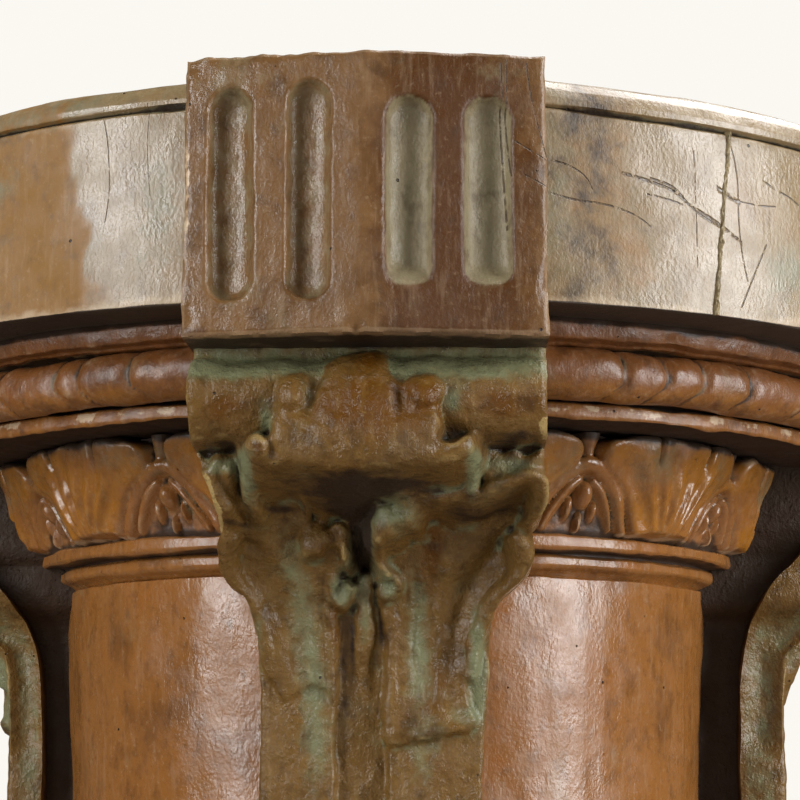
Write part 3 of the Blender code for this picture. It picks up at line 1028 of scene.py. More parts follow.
@dataclass
class TopSlab:
    """The thick round slab, whose top edge is a slightly proud, rounded band."""

    sizes: ColumnSizes
    steps: int = 480
    band_height: float = 7.8
    band_proud: float = 1.6
    row: float = 2.6
    flat_row: float = 14.0
    amber: tuple[Oval, ...] = (
        Oval(-23, 56, 3, 7, 0.6), Oval(19.3, 26, 3.8, 32, 0.45), Oval(23, 46, 2, 12, 0.4),
        Oval(46, 50, 6, 16, 0.9), Oval(60, 30, 8, 40, 0.7), Oval(-70, 30, 10, 30, 0.5))
    green: tuple[Oval, ...] = (
        Oval(-16.5, 34, 2.6, 20, 0.6), Oval(15.6, 30, 2, 40, 0.45), Oval(-30, 2, 16, 8, 0.5),
        Oval(38, 44, 3, 9, 0.7), Oval(-34, 22, 4, 5, 0.6))
    dark_and_shade: tuple[Oval, ...] = (
        Oval(18.2, 28, 3.6, 40, 0.34), Oval(-36, 20, 8, 12, 0.16), Oval(-27, 50, 4, 8, 0.14))

    def build(self, material: bpy.types.Material) -> bpy.types.Object:
        """Turn the slab and make its face slightly uneven.

        Args:
            material: Its finish.

        Returns:
            The finished piece.
        """
        s = self.sizes
        radius = s.shaft_radius + s.slab_overhang
        top = s.column_height
        band = top - self.band_height
        under = s.shaft_radius + s.bead_overhang - 3.0
        below = [(0.0, s.slab_bottom + 6.0), (under - 6.0, s.slab_bottom + 6.0), (under, s.slab_bottom)]
        face = [below[-1], (radius, s.slab_bottom), (radius, band - 0.5), (radius - 0.7, band)]
        proud = radius + self.band_proud
        edge = [face[-1], (proud - 0.2, band + 0.5), (proud, band + 2.0), (proud - 1.0, band + 4.4)]
        edge += [(proud - 2.9, band + 6.4), (proud - 5.6, top), (proud - 12.0, top)]
        outline = dense(below, self.flat_row) + dense(face, self.row, 0.5)[1:] + dense(edge, 1.1, 0.3)[1:]
        outline += dense([edge[-1], (0.0, top)], self.flat_row)[1:]
        piece = Piece("top_slab", turn_on_axis(outline, self.steps))
        piece.roughen((60.0, 0.3, 11), (16.0, 0.12, 12), (6.0, 0.05, 13))
        places = piece.places
        turn = azimuth(places)
        droop = 1.6 * ramp(8.0, 24.0, turn) * ramp(150.0, 110.0, turn)
        places[:, 2] -= droop * np.clip(1.0 - np.abs(places[:, 2] - band) / 7.0, 0.0, 1.0)
        places[:, 2] = np.minimum(places[:, 2], top)
        piece.places = places
        depth = top - places[:, 2]
        side = np.hypot(places[:, 0], places[:, 1]) > under
        edge_of_ochre = turn + 0.8 * waves(places, 16.0, 14) - 1.6 * ramp(26.0, 40.0, depth)
        ochre = 1.3 * ramp(-23.9, -25.2, edge_of_ochre) * ramp(-96.0, -70.0, turn)
        piece.stain("amber", np.where(side, ochre + stains(self.amber, turn, depth), 0.0))
        piece.stain("green", np.where(side, stains(self.green, turn, depth), 0.25))
        # Painted shade on the underside; the ovals make darker patches on the face, one beside the front
        # block's right side.
        piece.stain("dark_and_shade", 0.8 * ramp(s.slab_bottom + 0.5, s.slab_bottom + 0.2, places[:, 2])
                    + stains(self.dark_and_shade, turn, depth) * side)
        piece.mark_hollows(full=0.2)
        return piece.finish(material)


@dataclass
class CrackFiller:
    """The old filler in the crack that runs down the slab's face."""

    sizes: ColumnSizes
    line: tuple[Point, ...] = (
        (31.7, 8), (31.4, 16.6), (30.9, 27.5), (30.5, 38.4), (30.1, 49.1), (29.8, 58.4))
    half_width: float = 0.75
    proud: float = 0.9
    sunk: float = 0.5
    columns: int = 8
    rows: int = 120

    def build(self, material: bpy.types.Material) -> bpy.types.Object:
        """Lay a thin uneven strip down the slab's face.

        Args:
            material: Its finish.

        Returns:
            The finished piece.
        """
        sheet = Sheet(self.columns, self.rows, 1)
        piece = Piece("crack_filler", sheet.shape())
        grid = piece.places
        radius = self.sizes.shaft_radius + self.sizes.slab_overhang
        depth = mix(self.line[0][1], self.line[-1][1], (1.0 - grid[:, 1]) / 2)
        middle = along([(down, turn) for turn, down in self.line], depth)
        flat = np.stack([grid[:, 0] * 3.0, depth], 1)
        half = self.half_width * (1.0 + 0.25 * waves(flat, 7.0, 91) + 0.2 * waves(flat, 2.5, 92))
        turn = np.radians(middle) + grid[:, 0] * half / radius
        bulge = np.sqrt(np.clip(1.0 - grid[:, 0] ** 2, 0.0, 1.0)) * (0.8 + 0.2 * waves(flat, 2.0, 93))
        out = np.where(grid[:, 2] > 0.5, -self.sunk, self.proud * bulge - 0.12) + radius
        height = self.sizes.column_height - depth
        piece.places = np.stack([out * np.sin(turn), -out * np.cos(turn), height], 1)
        piece.face_out()
        return piece.finish(material)


@dataclass
class RingMouldings:
    """The flat band, the carved torus and the thin fillet between the slab and the frieze."""

    sizes: ColumnSizes
    steps: int = 960
    grooves: tuple[float, ...] = (
        -38.5, -31.0, -28.2, -21.9, 23.8, 28.3, 32.6, 38.8, *range(48, 318, 9))
    groove_depth: float = 0.9
    groove_half: float = 0.32

    def outline(self) -> list[Point]:
        """Give the members' outline from the fillet up to the slab.

        Returns:
            Points of (radius, height) in millimetres.
        """
        s = self.sizes
        ledge, slab = s.frieze_top, s.slab_bottom
        fillet = s.shaft_radius + s.ring_fillet_overhang
        band = s.shaft_radius + s.bead_overhang
        band_low = s.torus_centre + s.torus_tube + 0.4
        centre = s.shaft_radius + s.torus_overhang
        under = s.torus_centre - s.torus_tube
        low = [(0.0, ledge + 0.6), (s.shaft_radius + 20.0, ledge + 0.9)]
        foot = [low[-1], (fillet - 4.0, ledge - 0.6), (fillet - 0.5, ledge - 1.4), (fillet, ledge - 0.6)]
        foot += [(fillet - 0.2, under - 0.5), (fillet - 1.2, under + 0.2), (fillet - 3.6, under + 0.8)]
        torus = round_arc(centre, s.torus_centre, s.torus_tube, start=-118, end=84, steps=26)
        cap = [torus[-1], (band - 5.2, band_low - 0.2), (band - 4.4, band_low + 0.5)]
        cap += [(band - 1.0, band_low + 0.9), (band, slab - 1.6), (band - 0.6, slab - 0.4)]
        cap += [(band - 3.0, slab + 3.0)]
        start = dense(low, 20.0) + dense(foot, 1.3, 0.3)[1:]
        return start + torus + dense(cap, 1.2, 0.3)[1:] + [(0.0, slab + 3.0)]

    def eggs(self, places: Array) -> Array:
        """Give the carving's height on the torus: eggs with curved grooves between them.

        Args:
            places: Places on the mouldings.

        Returns:
            Heights in millimetres, 0 off the torus.
        """
        s = self.sizes
        radius = np.hypot(places[:, 0], places[:, 1])
        up = (places[:, 2] - s.torus_centre) / s.torus_tube
        out = (radius - s.shaft_radius - s.torus_overhang) / s.torus_tube
        on = ramp(-0.35, 0.2, out) * (np.abs(np.hypot(up, out) - 1.0) < 0.05)
        angle = azimuth(places)
        sway = 0.35 * waves(places, 60.0, 23)
        bow = (0.5 * (1.0 - up * up) - 1.3 * ramp(-0.1, -1.0, up) ** 1.5) * np.sign(angle) + sway
        apart = [np.abs((angle - bow - groove + 180.0) % 360.0 - 180.0) for groove in self.grooves]
        off = np.min(apart, axis=0)
        wall = np.exp(-((off / self.groove_half) ** 2))
        swell = 0.5 * ramp(0.0, 1.6, off)
        return on * (swell - self.groove_depth * wall)

    def build(self, material: bpy.types.Material) -> bpy.types.Object:
        """Turn the members and carve the torus.

        Args:
            material: Its finish.

        Returns:
            The finished piece.
        """
        s = self.sizes
        piece = Piece("carved_torus", turn_on_axis(self.outline(), self.steps))
        places = piece.places
        carving = self.eggs(places)
        piece.places = push_out(places, carving)
        piece.roughen((26.0, 0.28, 21), (9.0, 0.16, 22), (4.0, 0.07, 24))
        piece.stain("amber", ramp(s.torus_centre + 1.0, s.torus_centre - 5.0, places[:, 2]) * 0.5)
        beneath = places[:, 2] - s.torus_centre + s.torus_tube
        inner = np.hypot(places[:, 0], places[:, 1]) - s.shaft_radius - s.ring_fillet_overhang
        # Painted shade: in the joint over the fillet, under the fillet and the slab, and in the torus's
        # grooves.
        joint_shade = ramp(1.6, 0.3, np.abs(beneath - 0.6)) * ramp(0.0, -1.5, inner)
        below = ramp(-0.3, -1.4, inner) * ramp(-1.2, -2.2, beneath)
        shade_under_slab = 0.7 * ramp(s.slab_bottom - 3.0, s.slab_bottom - 0.5, places[:, 2])
        piece.stain("dark_and_shade", 0.9 * joint_shade + 1.1 * below + shade_under_slab + 0.4 * ramp(-0.25, -0.8, carving))
        # A painted highlight, with some wear, along the fillet's face.
        piece.stain("wear_and_highlight", 0.42 * ramp(1.8, 0.8, np.abs(beneath + 1.8)) * ramp(-0.8, -0.3, inner))
        piece.mark_hollows(full=0.3)
        return piece.finish(material)


@dataclass
class LeafFrieze:
    """The band of broad ribbed leaves with a small arched palmette between each two.

    The palmette's lines give (millimetres from its middle, up from the band's foot, height, width).
    """

    sizes: ColumnSizes
    steps: int = 1296
    rows: int = 48
    period: float = 30.0
    ground_top: float = 16.6
    ground_bottom: float = 8.5
    leaf_edge: float = 2.6
    leaf_overhang: float = 18.0
    leaf_bow: float = 0.002
    leaf_half: tuple[Point, ...] = (
        (0, 5.9), (0.25, 7.4), (0.39, 8.7), (0.53, 10.6), (0.66, 12.8), (0.8, 13.5), (0.9, 13.1),
        (0.97, 12), (1.03, 9.8))
    leaf_rise: tuple[Point, ...] = (
        (0, 6.6), (0.3, 6.6), (0.6, 7.4), (0.82, 9.2), (0.93, 9.6), (1, 8.2), (1.06, 4))
    arch: Line = Line(
        ((-3.6, 17.6, 5.5, 2.2), (0, 18.4, 5.7, 2.3), (3.6, 17.6, 5.5, 2.3), (7.4, 15.2, 5.3, 2.3),
        (10.8, 11.6, 5.1, 2.2), (13.4, 7.4, 4.9, 2), (15.6, 3.4, 4.4, 1.8), (17.4, 0.6, 3.8, 1.5)))
    inner: Line = Line(
        ((2.4, 14.2, 4, 0.9), (5.6, 12, 4.4, 1), (8.2, 8.8, 4.4, 1.1), (10.4, 5.2, 3.9, 1),
        (12, 2, 3.2, 0.9)))
    stem: Line = Line(((0, 18, 5, 1.5), (0, 21, 4.8, 1.5), (0, 24, 5, 2.2), (0, 29, 5.4, 3.4)))
    petals: tuple[Oval, ...] = (
        Oval(0, 10.4, 3.2, 3.9, 4.9, Relief.DOME), Oval(4.4, 6.6, 1.5, 3.6, 3.6, Relief.DOME),
        Oval(0, 2.6, 1.2, 3.6, 3.6, Relief.DOME))
    ribs: tuple[Line, ...] = tuple(Line(((spread * 2.3, 0.5, 0.5, 1.0), (spread * 3.6, 6.0, 2.0, 1.4),
                                         (spread * 5.4, 13.0, 2.4, 2.0), (spread * 7.6, 21.0, 0.5, 2.6)))
                                   for spread in (-2.0, -1.0, 0.0, 1.0, 2.0))
    notch: Line = Line(((12.0, 30.0, 4.5, 0.8), (11.0, 25.0, 3.0, 0.7), (10.2, 20.0, 0.5, 0.7)))

    def relief(self, turn: Array, up: Array) -> Array:
        """Give the carving's height over the ground.

        Args:
            turn: Degrees round the column.
            up: Millimetres up from the band's foot.

        Returns:
            Heights in millimetres.
        """
        s = self.sizes
        share = up / s.frieze_height
        degree = math.radians(s.shaft_radius + self.leaf_overhang)
        leaf_turn = turn % self.period - self.period / 2
        side = leaf_turn * degree
        held = (along(self.leaf_half, share) - np.abs(leaf_turn)) * degree
        within = np.clip(1.0 - held / self.leaf_edge, 0.0, 1.0)
        leaf = along(self.leaf_rise, share) - self.leaf_bow * side**2
        for rib in self.ribs:
            leaf += rib.groove(side, up)
        leaf -= self.notch.groove(np.abs(side), up)
        leaf -= self.leaf_edge * (1.0 - np.sqrt(1.0 - within * within)) + 4.0 * np.maximum(-held, 0.0)
        middle = np.abs((turn + self.period / 2) % self.period - self.period / 2) * degree
        palmette = np.maximum.reduce([line.rod(middle, up) for line in (self.arch, self.inner, self.stem)])
        for petal in self.petals:
            palmette = np.maximum(palmette, petal.height(middle, up))
        low = mix(1.0, 0.0, ramp(0.6, 0.8, share))
        return join(join(np.maximum(palmette, low), leaf, 0.7), low, 0.5) * ramp(-1.2, 1.0, up)

    def build(self, material: bpy.types.Material) -> bpy.types.Object:
        """Turn the band and carve it.

        Args:
            material: Its finish.

        Returns:
            The finished piece.
        """
        s = self.sizes
        low, high = s.frieze_bottom - 1.0, s.frieze_top + 0.2
        foot = (s.shaft_radius + self.ground_bottom, low)
        head = (s.shaft_radius + self.ground_top, high)
        outline = [(0.0, low)] + dense([foot, head], (high - low) / self.rows) + [(0.0, high)]
        piece = Piece("leaf_frieze", turn_on_axis(outline, self.steps))
        places = piece.places
        outer = np.hypot(places[:, 0], places[:, 1]) > s.shaft_radius
        carved = places[outer]
        turn = azimuth(carved) + 0.3 * waves(carved, 24.0, 33)
        up = carved[:, 2] - s.frieze_bottom + 0.5 * waves(carved, 18.0, 34)
        height = np.zeros(len(places))
        height[outer] = self.relief(turn, up)
        piece.places = push_out(places, height)
        piece.roughen((19.0, 0.3, 31), (6.0, 0.12, 32))
        share = (places[:, 2] - s.frieze_bottom) / s.frieze_height
        # Painted shade: on the low ground between the carving, under the fillet at the top and along the
        # foot.
        ground_shade = outer * ramp(2.6, 0.8, height)
        piece.stain("dark_and_shade", ground_shade * 0.4 + 0.65 * ramp(0.86, 1.0, share) + 0.3 * ramp(0.08, -0.02, share))
        piece.stain("amber", outer * 0.6 * ramp(4.0, 7.0, height) * (1.0 + 0.6 * waves(places, 30.0, 35)))
        piece.stain("green", outer * 0.2 * ramp(0.3, 0.6, share) * (1.0 + waves(places, 24.0, 36)))
        piece.mark_hollows(full=0.5)
        return piece.finish(material)


@dataclass
class Shaft:
    """The plain round shaft with its two small fillets at the head and the ring lower down."""

    sizes: ColumnSizes
    foot: float = 100.0
    ring_height: float = 752.4
    ring_tube: float = 5.0
    flare: float = 3.2
    flare_height: float = 70.0
    waist: float = 1.4
    steps: int = 288
    row: float = 6.5

    def build(self, material: bpy.types.Material) -> bpy.types.Object:
        """Turn the shaft and make it slightly uneven.

        Args:
            material: Its finish.

        Returns:
            The finished piece.
        """
        s = self.sizes
        radius = s.shaft_radius
        lower = s.shaft_top + s.cavetto_height
        upper = lower + s.lower_fillet_height
        narrow, wide = radius + s.lower_fillet_overhang, radius + s.upper_fillet_overhang
        shaft = dense([(radius, self.foot), (radius, self.ring_height - self.ring_tube)], self.row)
        shaft += round_arc(radius, self.ring_height, self.ring_tube, start=-85, end=85, steps=8)
        shaft += dense([(radius, self.ring_height + self.ring_tube), (radius, s.shaft_top)], self.row)[1:]
        head = [(radius, s.shaft_top), (radius + 2.6, lower - 0.8), (narrow - 0.8, lower)]
        head += [(narrow, lower + 0.8), (narrow, upper - 1.3), (narrow - 1.6, upper - 0.5)]
        head += [(narrow - 1.2, upper + 0.2), (wide - 0.8, upper + 0.5), (wide, upper + 1.3)]
        head += [(wide - 0.2, s.frieze_bottom - 0.9), (wide - 3.4, s.frieze_bottom + 0.3)]
        head += [(radius, s.frieze_bottom + 0.5)]
        shaft = shaft[:-1] + dense([shaft[-2], shaft[-1]], 1.6)[1:]
        outline = [(0.0, self.foot)] + shaft + dense(head, 1.1, 0.3)[1:] + [(0.0, s.frieze_bottom + 0.5)]
        piece = Piece("shaft", turn_on_axis(outline, self.steps))
        places = piece.places
        flare = ramp(s.shaft_top - self.flare_height, s.shaft_top + 8.0, places[:, 2]) * self.flare
        waist = ramp(self.ring_height + 20.0, self.ring_height + 90.0, places[:, 2]) * self.waist
        piece.places = push_out(places, (flare - waist) * (places[:, 2] < s.shaft_top + 0.1))
        piece.roughen((85.0, 0.25, 41), (28.0, 0.24, 42), (9.0, 0.11, 43), (5.0, 0.05, 46))
        # Painted shade in the creases where the fillets meet each other and the frieze.
        crease_shade = ramp(0.9, 0.0, np.abs(places[:, 2] - upper))
        crease_shade += 0.7 * ramp(0.8, 0.0, np.abs(places[:, 2] - s.frieze_bottom))
        piece.stain("dark_and_shade", crease_shade)
        piece.stain("amber", 0.35 * np.clip(waves(places, 120.0, 44), -1.0, 1.0))
        piece.mark_hollows(full=0.9)
        return piece.finish(material)


@dataclass
class MouldedBase:
    """The round plinth, torus, scotia and small torus under the shaft."""

    sizes: ColumnSizes
    steps: int = 288
    plinth_height: float = 45.0
    plinth_overhang: float = 68.0
    chamfer: float = 4.0
    torus_tube: float = 14.0
    torus_overhang: float = 44.0
    fillet_height: float = 5.0
    fillet_overhang: float = 40.0
    scotia_height: float = 22.0
    scotia_hollow: float = 5.0
    neck_fillet_height: float = 4.0
    neck_fillet_overhang: float = 19.0
    neck_tube: float = 6.5
    neck_overhang: float = 9.0
    cavetto_height: float = 14.0
    cavetto_overhang: float = 7.0
    tuck: float = 0.8
    parts: int = 8

    def outline(self) -> list[Point]:
        """Give the base's outline from the floor up.

        Returns:
            Points of (radius, height) in millimetres.
        """
        out = self.sizes.shaft_radius
        torus = self.plinth_height + self.torus_tube
        fillet = torus + self.torus_tube
        scotia = fillet + self.fillet_height
        neck = scotia + self.scotia_height
        small = neck + self.neck_fillet_height + self.neck_tube
        cavetto = small + self.neck_tube
        plinth = out + self.plinth_overhang
        outline = dense([(0.0, 0.0), (plinth - 3.0, 0.0)], 20.0)
        start = [outline[-1], (plinth, 0.0), (plinth, self.plinth_height - self.chamfer)]
        start += [(plinth - self.chamfer, self.plinth_height)]
        start += [(out + self.torus_overhang, self.plinth_height)]
        outline += dense(start, 3.6, 0.8)[1:]
        large = out + self.torus_overhang
        outline += round_arc(large, torus, self.torus_tube, start=-75, end=75, steps=12)
        outline += dense([(out + self.fillet_overhang, fillet), (out + self.fillet_overhang, scotia)], 2.5)
        for step in range(1, self.parts):
            share = step / self.parts
            line = mix(self.fillet_overhang, self.neck_fillet_overhang, share)
            hollow = self.scotia_hollow * math.sin(math.pi * step / self.parts)
            outline.append((out + line - hollow, mix(scotia, neck, share)))
        edge = out + self.neck_fillet_overhang
        outline += dense([(edge, neck), (edge, neck + self.neck_fillet_height)], 2.0)
        outline += round_arc(out + self.neck_overhang, small, self.neck_tube, start=-75, end=75, steps=8)
        for step in range(6):
            curve = self.cavetto_overhang * (1.0 - math.sin(math.pi / 2 * step / 5))
            outline.append((out + curve - self.tuck * step / 5, cavetto + self.cavetto_height * step / 5))
        return outline + [(0.0, cavetto + self.cavetto_height)]

    def build(self, material: bpy.types.Material) -> bpy.types.Object:
        """Turn the base.

        Args:
            material: Its finish.

        Returns:
            The finished piece.
        """
        piece = Piece("moulded_base", turn_on_axis(self.outline(), self.steps))
        flat = piece.places[:, 2] < 0.5
        piece.roughen((60.0, 0.35, 51), (14.0, 0.12, 52))
        places = piece.places
        places[:, 2] = np.where(flat, 0.0, np.maximum(places[:, 2], 0.0))
        piece.places = places
        piece.stain("dark_and_shade", 0.4 * ramp(14.0, 0.0, places[:, 2]))
        top = places[:, 2].max()
        piece.mark_hollows(full=1.6, keep=ramp(top - 2.0, top - 9.0, places[:, 2]))
        return piece.finish(material)


@dataclass(frozen=True)
class Flute:
    """A stopped flute: its middle, its ends below the column's top, and how its foot fades."""

    centre: float
    top: float
    bottom: float
    half_width: float
    fade: float = 1.0


@dataclass
class FlutedBlock:
    """A block on the slab, V-shaped on plan, with four stopped flutes."""

    sizes: ColumnSizes
    left_half: float = 42.4
    right_half: float = 45.0
    ridge_rise: float = 6.5
    top_gap: float = 1.5
    back_depth: float = 42.0
    flute_depth: float = 4.4
    flute_round: float = 0.42
    least_worn: float = 0.4
    most_worn: float = 3.0
    front_sheet: Sheet = Sheet(176, 140, 3)
    sheet: Sheet = Sheet(112, 88, 3)
    flutes: tuple[Flute, ...] = (
        Flute(-30.9, 9.7, 62.6, 5.4), Flute(-12, 8.8, 62.8, 5.2), Flute(12, 12.8, 61.5, 5.6, 9),
        Flute(30.8, 12.4, 60.5, 5.6, 8))
    chips: tuple[Oval, ...] = (
        Oval(-42, 66, 1.6, 2.2, -1.8), Oval(-41, 3, 3, 2, -1.2), Oval(-30, 2.4, 5, 1.2, -0.9),
        Oval(-18, 2, 3, 1, -0.7), Oval(44.8, 31, 1.2, 2.6, -1.2), Oval(44.8, 58, 1.3, 4, -1.3),
        Oval(-42.3, 38, 1, 3, -0.8), Oval(-0.4, 71, 1.4, 2.4, -2.2), Oval(20, 71, 6, 1, -0.9))
    amber: tuple[Oval, ...] = (
        Oval(22, 40, 19, 60, 1.4), Oval(-17.6, 38, 1.6, 24, 1), Oval(-36.8, 36, 1.2, 26, 0.9),
        Oval(-28, 40, 22, 60, -0.9), Oval(-43, 50, 1.5, 18, 1.2), Oval(-41, 69.5, 8, 1.6, 1.2))
    green: tuple[Oval, ...] = (
        Oval(12, 36, 4.8, 22, 0.7), Oval(30.8, 36, 4.8, 22, 0.7), Oval(36, 6, 8, 4, 0.3),
        Oval(-30, 8, 14, 6, 0.3))
    wear_and_highlight: tuple[Oval, ...] = (Oval(-41.8, 34.0, 1.2, 26.0, 0.5), Oval(-40.0, 4.0, 4.0, 3.0, 0.5))

    def fluted(self, side: Array, depth: Array) -> Array:
        """Tell which places lie within a flute's outline.

        Args:
            side: Distances to the side.
            depth: Depths below the column's top.

        Returns:
            True for each such place.
        """
        found = np.zeros(side.shape, bool)
        for flute in self.flutes:
            middle, half = (flute.top + flute.bottom) / 2, (flute.bottom - flute.top) / 2
            across = np.abs(side - flute.centre) < flute.half_width + 0.3
            found |= across & (np.abs(depth - middle) < half)
        return found

    def front(self, side: Array, depth: Array, seed: int) -> Array:
        """Give the front face's distance from the axis.

        Args:
            side: Distances to the side.
            depth: Depths below the column's top.
            seed: Chooses the wear of this block.

        Returns:
            Distances in millimetres.
        """
        s = self.sizes
        low = s.column_height - s.block_bottom
        flat = np.stack([side, depth], -1)
        sway = 0.1 * waves(flat, 40.0, seed + 2)
        slope = np.hypot(side + sway, 1.6) / max(self.left_half, self.right_half)
        face = s.ridge_radius - self.ridge_rise * slope
        for flute in self.flutes:
            top, bottom = flute.top + flute.half_width, flute.bottom - flute.half_width
            end = np.clip(depth, top, bottom) - depth
            reach = np.hypot(side + sway - flute.centre, end) / flute.half_width
            hollow = np.clip(1.0 - reach * reach, 0.0, 1.0) ** self.flute_round
            face -= self.flute_depth * hollow * ramp(flute.bottom, flute.bottom - flute.fade, depth)
        for chip in self.chips:
            face += chip.height(side, depth)
        corner = ramp(30.0, 4.0, depth + np.maximum(side + 20.0, 0.0))
        worn = 0.8 + 0.35 * waves(flat, 11.0, seed) + corner * (0.8 + 0.5 * waves(flat, 4.0, seed + 1))
        worn = np.clip(worn, self.least_worn, self.most_worn)
        across = np.minimum(side + self.left_half, self.right_half - side)
        margin = np.minimum(np.minimum(across, depth - self.top_gap), low - depth)
        inside = np.clip(1.0 - margin / worn, 0.0, 1.0)
        return face - worn * (1.0 - np.sqrt(1.0 - inside * inside))

    def build(self, material: bpy.types.Material, name: str, turn: int) -> bpy.types.Object:
        """Model the block at the front and turn it round the column.

        Args:
            material: Its finish.
            name: Which side it stands on.
            turn: Quarter turns from the front.

        Returns:
            The finished block.
        """
        s = self.sizes
        # The front block is the one seen close up, so its mesh is the finest.
        sheet = self.front_sheet if turn == 0 else self.sheet
        piece = Piece(f"fluted_block_{name}", sheet.shape())
        row, column, layer = sheet.index(piece.places)
        over = np.linspace(-1.0, 1.0, sheet.columns + 1)
        across = np.where(over < 0, over * self.left_half, over * self.right_half)
        down = np.linspace(self.top_gap, s.column_height - s.block_bottom, sheet.rows + 1)
        side, depth = np.meshgrid(across, down)
        face = smoothed(self.front(side, depth, 60 + turn), 1)
        back = s.ridge_radius - self.ridge_rise - self.back_depth
        out = mix(face[row, column], back, np.array([0.0, 0.12, 0.5, 1.0])[layer])
        side, depth = side[row, column], depth[row, column]
        piece.places = np.stack([side, -out, s.column_height - depth], 1)
        piece.face_out()
        piece.roughen((30.0, 0.2, 61 + turn), (9.0, 0.09, 65 + turn), (3.5, 0.035, 69 + turn))
        # Painted shade: the amber ovals darken the right half, which reflects less light, and strips along
        # the left flutes' left walls; two more darken the left edge and its lower corner.
        piece.stain("amber", stains(self.amber, side, depth) * (layer == 0))
        # Painted reflection: the flutes get a paler grey-green sheen, stronger on the right, and so do the
        # green ovals on the right flutes.
        sunk = s.ridge_radius - self.ridge_rise * np.abs(side) / self.right_half - out
        flute_sheen = np.where(side < 0, 0.38, 0.62) * ramp(0.25, 0.8, sunk) * self.fluted(side, depth)
        piece.stain("green", (stains(self.green, side, depth) + flute_sheen) * (layer == 0))
        # Painted shade on the block's underside.
        piece.stain("dark_and_shade", 0.6 * (layer > 0) * (row == sheet.rows))
        # A painted highlight down the left edge; the top-left corner is worn pale.
        piece.stain("wear_and_highlight", stains(self.wear_and_highlight, side, depth) * (layer == 0))
        piece.mark_hollows(full=0.3)
        piece.turn_round(turn, s.block_count)
        return piece.finish(material)


